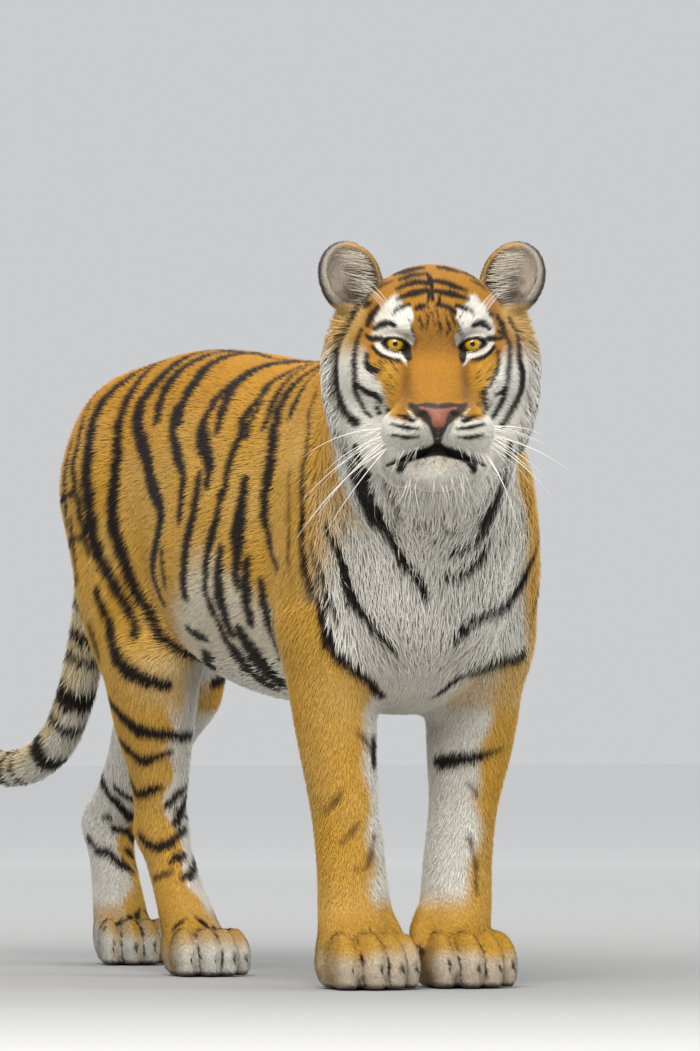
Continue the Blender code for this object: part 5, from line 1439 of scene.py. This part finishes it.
def lie(points, normals):
    """The way the coat lies at each point: along the body, down the legs, away from the nose on the head."""
    x, y, z = points.T
    h = to_head(points)
    way = np.tile((0.0, 1.0, -0.12), (len(points), 1))

    def turn(weight, direction):
        np.add(way, weight[:, None] * (np.asarray(direction, float) - way), out=way)

    side = smoothstep(0.1, 0.8, np.abs(normals[:, 0]))
    turn(0.8 * side * smoothstep(0.90, 0.70, z), (0.0, 1.0, -0.42))
    turn(smoothstep(0.16, 0.06, y) * smoothstep(0.80, 0.62, z), (0.0, 0.45, -1.0))
    turn(smoothstep(0.56, 0.68, y) * smoothstep(0.80, 0.60, z), (0.0, 0.40, -1.0))
    turn(smoothstep(0.50, 0.42, z) * ((y < 0.15) | (y > 0.54)), (0.0, 0.16, -1.0))
    turn(smoothstep(-0.35, -0.75, normals[:, 2]) * smoothstep(0.3, 0.4, z), (0.0, 1.0, 0.0))
    still = np.zeros(len(points))
    down_the_chest = np.stack([0.5 * (x + 0.03), still - 0.1, still - 1.0], 1)
    turn(smoothstep(-0.02, -0.09, y) * smoothstep(0.38, 0.46, z), down_the_chest)
    turn(smoothstep(0.13, 0.07, z), (0.0, -0.85, -0.45))
    share, _, along = on_tail(points)
    turn(share, along)
    spread = unit(h - np.array([0.0, -0.118, -0.100]))
    sign = np.sign(h[:, 0])
    ruff = smoothstep(0.085, 0.115, np.abs(h[:, 0])) * smoothstep(0.06, 0.0, h[:, 2])
    spread = spread + np.stack([0.55 * ruff * sign, 0.25 - 0.9 * ruff, -0.95 * ruff], 1)
    low = smoothstep(-0.14, -0.20, h[:, 2])
    spread = spread + np.stack([still, 0.3 * low, -1.2 * low], 1)
    turn(smoothstep(0.165, 0.120, h[:, 1]) * smoothstep(-0.26, -0.20, h[:, 2]), spread @ HEAD_AXES.T)
    way -= (way * normals).sum(1)[:, None] * normals
    return unit(way)


def snapped(points, height):
    """The points moved to this height over the skin, with the skin's normals there."""
    made, facing = np.empty_like(points), np.empty_like(points)
    for i, point in enumerate(points):
        near, _, face, _ = skin_tree.find_nearest(point)
        made[i] = near
        facing[i] = skin_face_normals[face]
    return made + height[:, None] * facing, facing


# ---------------------------------------------------------------- tufts

LONG = 0.025  # tufts longer than this bend in the middle
COVER, LONG_COVER = 2.0, 1.7  # how many short or long tufts lie over each point of the skin
SEEN = (0.40, 0.95)  # the places along a tuft that give the colours of its lower part and of its tip
SHADED_ROOT, LIT_TIP = 0.80, 1.05  # how much darker or lighter than its colour a tuft is there
BRIGHTNESS = (0.88, 1.10)  # how much one tuft differs from the next
FRAY = 0.0006  # how far a tuft's colours stray over a stroke's edge, in metres
BARE_DEPTH = 0.0008  # no tufts grow where the coat is less deep than this
PIECES = ("face_right", "face_left", "crown_right", "crown_left", "neck_right", "neck_left", "chest",
          "back_right", "back_left", "flank_right", "flank_left", "rump_right", "rump_left", "belly",
          "foreleg_right", "foreleg_left", "hindleg_right", "hindleg_left", "tail")


def piece_of(points, normals):
    """The place in PIECES of the coat piece that each point belongs to."""
    x, y, z = points.T
    h = to_head(points)
    left = (x > 0.0).astype(int)
    found = 9 + left
    found = np.where((y < 0.56) & (z > 0.80), 7 + left, found)
    found = np.where(y >= 0.56, 11 + left, found)
    found = np.where((normals[:, 2] < -0.45) & (y > 0.08) & (y < 0.62) & (z > 0.34), 13, found)
    found = np.where((z < 0.50) & (y < 0.16) & (found != 13), 14 + (x > -0.02), found)
    found = np.where((z < 0.50) & (y > 0.54) & (found != 13), 16 + left, found)
    found = np.where((y < -0.04) & (z >= 0.50), 6, found)
    found = np.where((y < 0.0) & (z > 0.70), 4 + (x > -0.05), found)
    found = np.where(h[:, 1] < HEAD_END + 0.004, 2 + (h[:, 0] > 0), found)
    found = np.where((h[:, 1] < 0.035), (h[:, 0] > 0).astype(int), found)
    found = np.where((h[:, 1] < 0.10) & (h[:, 2] < -0.26), 6, found)
    return np.where(on_tail(points)[0] > 0.5, 18, found)


def scattered(corners, count):
    """count[i] random places on triangle i: (numbers of the triangles, shares of their corners)."""
    face = np.repeat(np.arange(len(corners)), count)
    a, b = rng.random((2, len(face)))
    fold = a + b > 1
    a[fold], b[fold] = 1 - a[fold], 1 - b[fold]
    return face, np.stack([1 - a - b, a, b], 1)


def tufts_of(roots, normals, ways, numbers):
    """Points, faces, normals and root numbers of a closed tuft at each root. Long ones bend in the middle."""
    depth, length, width = numbers.T
    total = len(roots)
    length = length * rng.uniform(0.72, 1.18, total)
    width = width * rng.uniform(0.75, 1.2, total)
    across = np.cross(normals, ways)
    swing = np.tan(np.radians(rng.normal(0.0, 9.0, total)))
    ways = unit(ways + swing[:, None] * across)
    across = np.cross(normals, ways)
    rise = depth * rng.uniform(0.65, 1.25, total)
    half = (width / 2)[:, None]
    sunk = roots - 0.0006 * normals
    tips, tip_normals = snapped(roots + length[:, None] * ways, rise)
    middles, middle_normals = snapped(roots + 0.5 * length[:, None] * ways, rise * 0.85)
    base = [sunk - across * half, sunk + across * half, sunk + normals * (0.45 * half + 0.0004)]
    base_normals = [unit(normals - 0.55 * across), unit(normals + 0.55 * across), normals]
    ring = [middles - across * half * 0.8, middles + across * half * 0.8,
            middles + middle_normals * 0.35 * half]
    ring_normals = [unit(middle_normals - 0.55 * across), unit(middle_normals + 0.55 * across),
                    middle_normals]
    bends = length > LONG
    made = []
    for chosen, layers, layer_normals, faces in (
        (~bends, base + [tips], base_normals + [tip_normals], SHORT_FACES),
        (bends, base + ring + [tips], base_normals + ring_normals + [tip_normals], LONG_FACES),
    ):
        points = np.stack([layer[chosen] for layer in layers], 1)
        facing = np.stack([layer[chosen] for layer in layer_normals], 1)
        made.append((points, facing, np.array(faces), np.flatnonzero(chosen)))
    return made


SHORT_FACES = ((0, 2, 1), (0, 1, 3), (1, 2, 3), (2, 0, 3))
LONG_FACES = ((0, 2, 1), (0, 1, 4), (0, 4, 3), (1, 2, 5), (1, 5, 4), (2, 0, 3), (2, 3, 5),
              (3, 4, 6), (4, 5, 6), (5, 3, 6))
MAP_PATCH = 0.003  # size of a tuft's place on its piece's map
# Where each corner of a tuft lies in its patch
SHORT_MAP = ((0.0, 0.0), (1.0, 0.0), (0.5, 0.15), (0.5, 1.0))
LONG_MAP = ((0.0, 0.0), (1.0, 0.0), (0.5, 0.1), (0.1, 0.5), (0.9, 0.5), (0.5, 0.6), (0.5, 1.0))


def new_mesh(name, points, triangles):
    mesh = bpy.data.meshes.new(name)
    mesh.vertices.add(len(points))
    mesh.vertices.foreach_set("co", np.asarray(points, np.float32).ravel())
    mesh.loops.add(3 * len(triangles))
    mesh.loops.foreach_set("vertex_index", np.asarray(triangles, np.int32).ravel())
    mesh.polygons.add(len(triangles))
    mesh.polygons.foreach_set("loop_start", np.arange(0, 3 * len(triangles), 3, dtype=np.int32))
    mesh.update(calc_edges=True)
    mesh.shade_smooth()
    return mesh


def new_object(name, mesh, material, replaced=()):
    obj = bpy.data.objects.new(name, mesh)
    bpy.context.scene.collection.objects.link(obj)
    mesh.materials.append(material)
    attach(obj, "root")
    if replaced:
        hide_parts(*replaced)
    return obj


def paint(mesh, name, values):
    """A colour or a number at each point of a mesh, for its material to read."""
    if values.ndim == 2:
        attribute = mesh.attributes.new(name, "FLOAT_COLOR", "POINT")
        attribute.data.foreach_set(
            "color", np.hstack([values, np.ones((len(values), 1))]).astype(np.float32).ravel())
    else:
        attribute = mesh.attributes.new(name, "FLOAT", "POINT")
        attribute.data.foreach_set("value", values.astype(np.float32))


def unwrapped(points, triangles):
    """A map of these faces: for each triangle, its three corners' places."""
    mesh = new_mesh("unwrap", points, triangles)
    obj = bpy.data.objects.new("unwrap", mesh)
    bpy.context.scene.collection.objects.link(obj)
    bpy.ops.object.select_all(action="DESELECT")
    obj.select_set(True)
    bpy.context.view_layer.objects.active = obj
    mesh.uv_layers.new(name="map")
    bpy.ops.object.mode_set(mode="EDIT")
    bpy.ops.mesh.select_all(action="SELECT")
    bpy.ops.uv.smart_project(angle_limit=math.radians(66), island_margin=0.004)
    bpy.ops.object.mode_set(mode="OBJECT")
    places = np.empty(6 * len(triangles), np.float32)
    obj.data.uv_layers[0].data.foreach_get("uv", places)
    bpy.data.objects.remove(obj)
    bpy.data.meshes.remove(mesh)
    return places.reshape(-1, 3, 2)


def coat_piece(name, faces, roots, normals, ways, numbers, shares, face_of_root, lower, tips):
    """One piece of the coat: the tufts whose roots are on these faces. lower and tips are their colours."""
    used, index = np.unique(skin_faces[faces], return_inverse=True)
    places = unwrapped(skin_points[used], index.reshape(-1, 3))
    row = np.zeros(len(skin_faces), int)
    row[faces] = np.arange(len(faces))
    root_map = (places[row[face_of_root]] * shares[:, :, None]).sum(1)
    points, facing, triangles, tints, maps, count = [], [], [], [], [], 0
    for block, block_normals, block_faces, chosen in tufts_of(roots, normals, ways, numbers):
        corners = block.shape[1]
        shade = np.array([SHADED_ROOT] * 3 + [0.97] * (corners - 4))[:, None]
        patch = np.array(SHORT_MAP if corners == 4 else LONG_MAP)
        where = root_map[chosen][:, None] + MAP_PATCH * (patch - 0.5)
        points.append(block.reshape(-1, 3))
        facing.append(block_normals.reshape(-1, 3))
        tint = np.concatenate([lower[chosen][:, None] * shade, LIT_TIP * tips[chosen][:, None]], 1)
        tints.append(tint.reshape(-1, 3))
        start = count + corners * np.arange(len(chosen))
        triangles.append((start[:, None, None] + block_faces[None]).reshape(-1, 3))
        maps.append(where[:, block_faces].reshape(-1, 2))
        count += corners * len(chosen)
    triangles = np.concatenate(triangles)
    points = np.concatenate(points) + to_row
    points[:, 2] = np.maximum(points[:, 2], 0.0)  # nothing is below the floor
    mesh = new_mesh(name, points, triangles)
    paint(mesh, "coat", np.clip(np.concatenate(tints), 0.0, 1.0))
    layer = mesh.uv_layers.new(name="OFBake")
    layer.data.foreach_set("uv", np.clip(np.concatenate(maps), 0.0, 1.0).astype(np.float32).ravel())
    mesh.normals_split_custom_set_from_vertices(np.concatenate(facing))
    return mesh


# ---------------------------------------------------------------- eyes, whiskers and long hairs

IRIS_R, PUPIL_R = 0.0112, 0.0029
# How far the cornea stands proud of the ball, and the radius of its own curve
CORNEA, CORNEA_R = 0.0016, 0.0135


def eye_mesh(name, centre, gaze):
    """A ball with its pole towards what it looks at, and the cornea bulging there."""
    gaze = np.array(gaze) / np.linalg.norm(gaze)
    side = np.cross((0, 0, 1.0), gaze)
    side /= np.linalg.norm(side)
    over = np.cross(gaze, side)
    rings, around_it = 56, 96
    tilt = np.concatenate([np.linspace(0.012, 0.9, 40), np.linspace(0.95, math.pi - 0.05, rings - 40)])
    turn = np.linspace(0, 2 * math.pi, around_it, endpoint=False)
    ahead = EYE_R + CORNEA - CORNEA_R  # of the ball's middle, where the cornea's curve has its own
    reach = np.maximum(EYE_R, ahead * np.cos(tilt) + np.sqrt(CORNEA_R ** 2 - (ahead * np.sin(tilt)) ** 2))
    points, spots = [centre + gaze * (EYE_R + CORNEA)], [(0.0, 0.0, 0.0)]
    for a, r in zip(tilt, reach):
        for b in turn:
            points.append(centre + r * (gaze * math.cos(a)
                                        + math.sin(a) * (side * math.cos(b) + over * math.sin(b))))
            spots.append((EYE_R * math.sin(min(a, 1.5)), math.cos(b), math.sin(b)))
    points.append(centre - gaze * EYE_R)
    spots.append((EYE_R, 1.0, 0.0))
    faces = [(0, 1 + i, 1 + (i + 1) % around_it) for i in range(around_it)]
    for ring in range(rings - 1):
        for i in range(around_it):
            a, b = 1 + ring * around_it + i, 1 + ring * around_it + (i + 1) % around_it
            faces += [(a, a + around_it, b + around_it), (a, b + around_it, b)]
    last = len(points) - 1
    faces += [(last, last - around_it + (i + 1) % around_it, last - around_it + i) for i in range(around_it)]
    mesh = new_mesh(name, np.array(points) + to_row, faces)
    spots = np.array(spots)
    paint(mesh, "from_axis", spots[:, 0] / IRIS_R)
    paint(mesh, "fibre", np.stack([spots[:, 1], spots[:, 2], spots[:, 0] / IRIS_R * 0.35], 1))
    return mesh


def strand(points, radius, sides=5):
    """A thin closed spine along these points, tapering to its end."""
    points = np.asarray(points, float)
    along = unit(np.gradient(points, axis=0))
    across = unit(np.cross(along, (0.13, 0.27, 1.0)))
    other = np.cross(along, across)
    made, faces = [], []
    for i, point in enumerate(points[:-1]):
        r = radius * (1.0 - 0.85 * i / (len(points) - 1))
        made += [point + r * (across[i] * math.cos(t) + other[i] * math.sin(t))
                 for t in np.linspace(0, 2 * math.pi, sides, endpoint=False)]
    made.append(points[-1])
    for i in range(len(points) - 2):
        for j in range(sides):
            a, b = i * sides + j, i * sides + (j + 1) % sides
            faces += [(a, b, b + sides), (a, b + sides, a + sides)]
    top, last = len(made) - 1, (len(points) - 2) * sides
    faces += [(last + j, last + (j + 1) % sides, top) for j in range(sides)]
    faces += [(0, j + 1, j) for j in range(1, sides - 1)]
    return np.array(made), np.array(faces)


def joined_strands(name, strands):
    points, faces, count = [], [], 0
    for line, radius in strands:
        made, rows = strand(line, radius)
        points.append(made)
        faces.append(rows + count)
        count += len(made)
    return new_mesh(name, np.concatenate(points) + to_row, np.concatenate(faces))


# (x, z) of the middle and the tip of each long whisker, from before the face, in the head's own frame
WHISKERS = {
    RIGHT: [((-0.120, -0.111), (-0.184, -0.158)), ((-0.131, -0.152), (-0.186, -0.221)),
            ((-0.131, -0.178), (-0.199, -0.279)), ((-0.104, -0.178), (-0.156, -0.268))],
    LEFT: [((0.110, -0.107), (0.153, -0.131)), ((0.130, -0.136), (0.191, -0.182)),
           ((0.120, -0.160), (0.164, -0.220)), ((0.096, -0.182), (0.117, -0.274))],
}
PAD = (0.044, -0.070, -0.122)  # inside the left pad
PAD_Y, TIP_Y = -0.122, -0.060  # how far back the whiskers' middles and tips are
WHISKER_R, SHORT_HAIR_R = 0.0011, 0.0004


def bezier(start, middle, end, steps):
    t = np.linspace(0.0, 1.0, steps)[:, None]
    return np.array(start) * (1 - t) ** 2 + 2 * np.array(middle) * t * (1 - t) + np.array(end) * t ** 2


def head_hair(start, bend, tip, steps=10):
    """A curve through three places in the head's frame."""
    return bezier(from_head(start), from_head(bend), from_head(tip), steps)


def whisker_strands():
    """The long whiskers, finer ones between them, and short hairs on the lips, under the chin and over the
    eyes."""
    made = []
    for side, rows in WHISKERS.items():
        root = (side * PAD[0], PAD[1], PAD[2])
        for (mx, mz), (tx, tz) in rows:
            made.append((head_hair(root, (mx, PAD_Y, mz), (tx, TIP_Y, tz), 22), WHISKER_R))
        for _ in range(14):
            whole, share = divmod(rng.uniform(0, len(rows) - 1), 1)
            above, below = np.array(rows[int(whole)]), np.array(rows[int(whole) + 1])
            (mx, mz), (tx, tz) = above * (1 - share) + below * share
            reach = rng.uniform(0.45, 0.97)
            start = np.array([side * rng.uniform(0.036, 0.060), -0.075, rng.uniform(-0.136, -0.108)])
            tip = start + reach * (np.array([tx, TIP_Y - 0.01, tz]) - start)
            bend = start + reach * (np.array([mx, PAD_Y - 0.006, mz + rng.uniform(0.0, 0.008)]) - start)
            made.append((head_hair(start, bend, tip, 14), rng.uniform(0.0006, 0.0009)))
        for _ in range(12):
            x = side * rng.uniform(0.022, 0.064)
            start = np.array([x, -0.100 + 0.6 * max(abs(x) - 0.035, 0),
                              -0.138 - 0.25 * max(abs(x) - 0.03, 0)])
            drop = rng.uniform(0.022, 0.048) * (0.6 + 8 * abs(x))
            tip = start + (rng.uniform(0.1, 0.7) * side * drop, -0.016, -drop)
            made.append((head_hair(start, start + (0.15 * side * drop, -0.022, -0.3 * drop), tip),
                         SHORT_HAIR_R))
        for _ in range(9):
            x = side * rng.uniform(0.002, 0.042)
            start = np.array([x, -0.095, rng.uniform(-0.196, -0.178)])
            drop = rng.uniform(0.020, 0.055)
            tip = start + (rng.uniform(-0.2, 0.5) * side * drop, -0.022, -drop)
            made.append((head_hair(start, start + (0.1 * x, -0.030, -0.35 * drop), tip), SHORT_HAIR_R))
        for _ in range(7):
            start = np.array([side * rng.uniform(0.050, 0.066), -0.012, rng.uniform(0.030, 0.040)])
            reach = rng.uniform(0.04, 0.07)
            tip = start + (side * 0.8 * reach, 0.0, 0.9 * reach)
            made.append((head_hair(start, start + (side * 0.3 * reach, -0.014, 0.6 * reach), tip),
                         SHORT_HAIR_R))
    return made


def ear_strands():
    """Long pale hairs that cross the cup of each ear from its inner edge."""
    made = []
    for sign in (RIGHT, LEFT):
        middle, tilt = ear_frame(sign)

        def at(x, y, z):
            return from_head(middle + tilt @ (np.array([sign * x, y, z]) * EAR_SIZE))

        for _ in range(220):
            z = rng.uniform(-0.92, 0.50)
            edge = math.sqrt(1 - z ** 2)
            start = (-0.86 * edge + rng.uniform(0.0, 0.30), -0.10, z)
            reach = rng.uniform(0.4, 1.0) * (0.45 + 0.6 * edge)
            tip = np.array([start[0] + reach, rng.uniform(-0.75, -0.30), z + rng.uniform(0.15, 0.50) * reach])
            tip[[0, 2]] *= min(1.0, 0.84 / np.hypot(tip[0], tip[2]))  # short of the rim
            bend = (start[0] + 0.5 * reach, -1.0, z + 0.05)
            made.append((bezier(at(*start), at(*bend), at(*tip), 7), rng.uniform(0.0003, 0.0006)))
    return made


# ---------------------------------------------------------------- materials


class Finish:
    """A material under way. Each call adds a node and gives back its output."""

    def __init__(self, name, **constants):
        self.material = bpy.data.materials.new(name)
        self.material.use_nodes = True
        self.tree = self.material.node_tree
        self.shader = self.tree.nodes["Principled BSDF"]
        for socket, value in constants.items():
            self.shader.inputs[socket.replace("_", " ")].default_value = value

    def node(self, kind, values=(), links=(), **settings):
        made = self.tree.nodes.new(kind)
        for key, value in settings.items():
            setattr(made, key, value)
        for socket, value in dict(values).items():
            made.inputs[socket].default_value = value
        for socket, output in dict(links).items():
            self.tree.links.new(output, made.inputs[socket])
        return made

    def attribute(self, name, output="Color"):
        return self.node("ShaderNodeAttribute", attribute_name=name).outputs[output]

    def noise(self, scale, detail=3.0, vector=None):
        links = {} if vector is None else {"Vector": vector}
        return self.node("ShaderNodeTexNoise", {"Scale": scale, "Detail": detail}, links).outputs["Fac"]

    def place(self):
        return self.node("ShaderNodeTexCoord").outputs["Object"]

    def between(self, value, low, high, to_low, to_high):
        values = {"From Min": low, "From Max": high, "To Min": to_low, "To Max": to_high}
        return self.node("ShaderNodeMapRange", values, {"Value": value}).outputs["Result"]

    def mix(self, share, one, two, how="MIX"):
        made = self.node("ShaderNodeMix", data_type="RGBA", blend_type=how)
        for socket, value in ((0, share), (6, one), (7, two)):
            if isinstance(value, bpy.types.NodeSocket):
                self.tree.links.new(value, made.inputs[socket])
            else:
                made.inputs[socket].default_value = value
        return made.outputs[2]

    def bump(self, height, distance, strength=1.0, under=None):
        links = {"Height": height} if under is None else {"Height": height, "Normal": under}
        return self.node("ShaderNodeBump", {"Strength": strength, "Distance": distance},
                         links).outputs["Normal"]

    def set(self, **outputs):
        for socket, output in outputs.items():
            self.tree.links.new(output, self.shader.inputs[socket.replace("_", " ")])
        return self.material


def coat_material():
    made = Finish("fur", Sheen_Weight=0.04, Sheen_Roughness=0.5, Specular_IOR_Level=0.14)
    place = made.place()
    hair = made.between(made.noise(260.0, 2.0, place), 0.3, 0.7, 0.86, 1.10)
    patch = made.between(made.noise(14.0, 3.0, place), 0.3, 0.7, 0.93, 1.06)
    colour = made.mix(1.0, made.mix(1.0, made.attribute("coat"), hair, "MULTIPLY"), patch, "MULTIPLY")
    rough = made.between(made.noise(60.0, 2.0, place), 0.3, 0.7, 0.55, 0.72)
    return made.set(Base_Color=colour, Roughness=rough)


def skin_material():
    made = Finish("skin", Sheen_Weight=0.05, Specular_IOR_Level=0.35)
    place = made.place()
    bare = made.attribute("bare", "Fac")
    fine = made.between(made.noise(300.0, 3.0, place), 0.3, 0.7, 0.80, 1.10)
    colour = made.mix(1.0, made.attribute("coat"), fine, "MULTIPLY")
    pebbles = made.node("ShaderNodeTexVoronoi", {"Scale": 620.0}, {"Vector": place}).outputs["Distance"]
    leather = made.bump(pebbles, 0.0005, 0.6)
    fur = made.bump(made.noise(420.0, 2.0, place), 0.0008, 0.5, leather)
    rough = made.between(bare, 0.0, 1.0, 0.75, 0.42)
    return made.set(Base_Color=colour, Roughness=rough, Normal=fur)


def eye_material():
    made = Finish("iris", Coat_Weight=1.0, Coat_Roughness=0.03, Coat_IOR=1.5, Specular_IOR_Level=0.0,
                  Roughness=0.5)
    radius = made.attribute("from_axis", "Fac")
    fibres = made.noise(9.0, 4.0, made.attribute("fibre", "Vector"))
    gold = made.mix(made.between(fibres, 0.35, 0.65, 0.0, 1.0),
                    (0.30, 0.165, 0.003, 1), (0.56, 0.345, 0.006, 1))
    gold = made.mix(made.between(radius, 0.25, 0.60, 0.55, 0.0), gold, (0.30, 0.19, 0.004, 1))
    gold = made.mix(made.between(radius, 0.72, 1.00, 0.0, 0.92), gold, (0.030, 0.014, 0.004, 1))
    white = made.mix(made.between(made.noise(240.0, 2.0, made.place()), 0.3, 0.7, 0.0, 1.0),
                     (0.060, 0.030, 0.018, 1), (0.020, 0.012, 0.009, 1))
    colour = made.mix(made.between(radius, 1.00, 1.06, 0.0, 1.0), gold, white)
    edge = PUPIL_R / IRIS_R
    colour = made.mix(made.between(radius, edge * 1.02, edge * 1.22, 1.0, 0.0), colour,
                      (0.001, 0.001, 0.001, 1))
    return made.set(Base_Color=colour)


def plain_material(name, low, high, scale, **constants):
    """A colour that wanders between two, with roughness to go with it."""
    made = Finish(name, **constants)
    noise = made.noise(scale, 3.0, made.place())
    rough = made.between(noise, 0.3, 0.7, 0.38, 0.55)
    return made.set(Base_Color=made.mix(noise, (*low, 1), (*high, 1)), Roughness=rough)


# ---------------------------------------------------------------- the whole tiger

head_at_row = (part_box("eye_left")[0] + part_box("eye_left")[1]) / 2
# From the tiger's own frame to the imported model's
to_row = np.array(head_at_row) - from_head((EYE_X, EYE_Y, EYE_Z))

skin_points, skin_faces = skin_mesh()
skin = new_mesh("skin", skin_points + to_row, skin_faces)
skin_normals = np.empty(3 * len(skin_points), np.float32)
skin.vertices.foreach_get("normal", skin_normals)
skin_normals = skin_normals.reshape(-1, 3).astype(float)
edges = skin_points[skin_faces]
crossed = np.cross(edges[:, 1] - edges[:, 0], edges[:, 2] - edges[:, 0])
skin_areas = np.linalg.norm(crossed, axis=1) / 2
skin_face_normals = unit(crossed)
skin_tree = BVHTree.FromPolygons(skin_points.tolist(), skin_faces.tolist())
black_strokes, brown_strokes = all_strokes()

under = coat_colour(skin_points, skin_normals, 0.0)
bare = bare_share(skin_points)
# painted shade: the skin is darker wherever the coat covers it, as under the tufts
under = under * (0.70 + 0.30 * bare)[:, None]
paint(skin, "coat", bare_colour(skin_points, under))
paint(skin, "bare", bare)
flesh = [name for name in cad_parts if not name.startswith(("eye", "claw", "whisker"))]
new_object("skin", skin, skin_material(), flesh)

face_middles = edges.mean(1)
face_numbers = coat_numbers(face_middles)
grows = face_numbers[:, 0] > BARE_DEPTH
density = (np.where(face_numbers[:, 1] > LONG, LONG_COVER, COVER)
           / (face_numbers[:, 1] * face_numbers[:, 2] * 0.5))
face_count = np.floor(skin_areas * density * grows + rng.random(len(skin_areas))).astype(int)
face_count[~grows] = 0
face_piece = piece_of(face_middles, skin_face_normals)
fur = coat_material()
for number, piece in enumerate(PIECES):
    faces = np.flatnonzero(face_piece == number)
    if not len(faces):
        continue
    face, shares = scattered(skin_faces[faces], face_count[faces])
    face = faces[face]
    roots = (skin_points[skin_faces[face]] * shares[:, :, None]).sum(1)
    normals = unit((skin_normals[skin_faces[face]] * shares[:, :, None]).sum(1))
    numbers = coat_numbers(roots)
    ways = lie(roots, normals)
    jitter = rng.normal(0.0, FRAY, len(roots)) * np.clip(numbers[:, 2] / 0.0027, 0.2, 1.2)
    bright = rng.uniform(*BRIGHTNESS, len(roots))[:, None]
    colours = []
    for share in SEEN:
        seen, facing = snapped(roots + share * numbers[:, 1:2] * ways, np.zeros(len(roots)))
        colours.append(coat_colour(seen, facing, jitter) * bright)
    mesh = coat_piece("coat_" + piece, faces, roots, normals, ways, numbers, shares, face, *colours)
    new_object("coat_" + piece, mesh, fur)

horn = plain_material("horn", (0.022, 0.016, 0.012), (0.06, 0.045, 0.035), 90.0,
                      Coat_Weight=0.3, Coat_Roughness=0.2)
for name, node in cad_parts.items():
    if name.startswith("claw"):
        node.data.materials.clear()
        node.data.materials.append(horn)
iris = eye_material()
gaze = -HEAD_AXES[:, 1] + np.array([-0.035, 0.0, 0.0])
for name, side in (("right", RIGHT), ("left", LEFT)):
    mesh = eye_mesh("eyeball_" + name, from_head((side * EYE_X, EYE_Y, EYE_Z)), gaze)
    new_object("eyeball_" + name, mesh, iris, ["eye_" + name])
bristle = plain_material("bristle", (0.72, 0.69, 0.60), (0.86, 0.84, 0.78), 120.0, Specular_IOR_Level=0.4)
whisker_nodes = [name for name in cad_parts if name.startswith("whisker")]
new_object("whiskers", joined_strands("whiskers", whisker_strands()), bristle, whisker_nodes)
ear_hair = plain_material("ear_hair", (0.52, 0.46, 0.36), (0.74, 0.68, 0.56), 200.0, Sheen_Weight=0.1)
new_object("ear_hair", joined_strands("ear_hair", ear_strands()), ear_hair)

# ---------------------------------------------------------------- floor, lights and camera


def flat(name, corners, colour):
    mesh = bpy.data.meshes.new(name)
    mesh.from_pydata(corners, [], [tuple(range(len(corners)))])
    obj = bpy.data.objects.new(name, mesh)
    bpy.context.scene.collection.objects.link(obj)
    made = Finish(name, Roughness=0.9, Specular_IOR_Level=0.0)
    away = made.node("ShaderNodeVectorMath", links={"Vector": made.place()},
                     operation="LENGTH").outputs["Value"]
    # darker under the lamps, so that it meets the background evenly
    tone = made.between(away, 1.0, 9.0, 0.38, 1.0)
    mesh.materials.append(made.set(Base_Color=made.mix(1.0, (*colour, 1), tone, "MULTIPLY")))


def softbox(name, place, size, power, colour=(1, 1, 1)):
    light = bpy.data.lights.new(name, "AREA")
    light.shape = "RECTANGLE"
    light.size, light.size_y = size
    light.energy = power
    light.color = colour
    obj = bpy.data.objects.new(name, light)
    obj.location = place
    obj.rotation_euler = (Vector((0, 0.2, 0.6)) - Vector(place)).to_track_quat("-Z", "Y").to_euler()
    bpy.context.scene.collection.objects.link(obj)


FLOOR, BELOW = 40.0, -0.002
flat("floor", [(-FLOOR, -FLOOR, BELOW), (FLOOR, -FLOOR, BELOW),
               (FLOOR, FLOOR, BELOW), (-FLOOR, FLOOR, BELOW)],
     (0.94, 0.94, 0.93))
softbox("key", (-2.4, -4.0, 4.2), (3.0, 2.6), 330.0, (1.0, 0.98, 0.94))
softbox("fill", (4.2, -2.6, 2.4), (3.0, 3.0), 85.0)
softbox("over", (0.0, 1.6, 5.0), (5.0, 5.0), 130.0)
world = bpy.data.worlds.new("studio")
world.use_nodes = True
world.node_tree.nodes["Background"].inputs["Color"].default_value = (0.96, 0.98, 1.0, 1.0)
world.node_tree.nodes["Background"].inputs["Strength"].default_value = 0.62
bpy.context.scene.world = world
bpy.context.scene.view_settings.view_transform = "Standard"

# The camera stands 12 m off, 26 degrees to the tiger's right of straight ahead, at 0.4 m, and looks a little
# upwards.
VIEW_AZIMUTH, VIEW_DISTANCE, VIEW_HEIGHT = math.radians(-26.0), 12.0, 0.40
AIM_ASIDE, AIM_HEIGHT = -0.0903, 0.6586
LENS = 286.9
back = Vector((math.sin(VIEW_AZIMUTH), -math.cos(VIEW_AZIMUTH), 0))
aside = Vector((math.cos(VIEW_AZIMUTH), math.sin(VIEW_AZIMUTH), 0))
camera = bpy.data.objects.new("camera", bpy.data.cameras.new("camera"))
camera.data.sensor_width = 36.0
camera.data.lens = LENS
camera.data.clip_end = 100.0
camera.location = back * VIEW_DISTANCE + Vector((0, 0, VIEW_HEIGHT)) + Vector(to_row)
aim = aside * AIM_ASIDE + Vector((0, 0, AIM_HEIGHT)) + Vector(to_row)
camera.rotation_euler = (aim - camera.location).to_track_quat("-Z", "Y").to_euler()
bpy.context.scene.collection.objects.link(camera)
bpy.context.scene.camera = camera
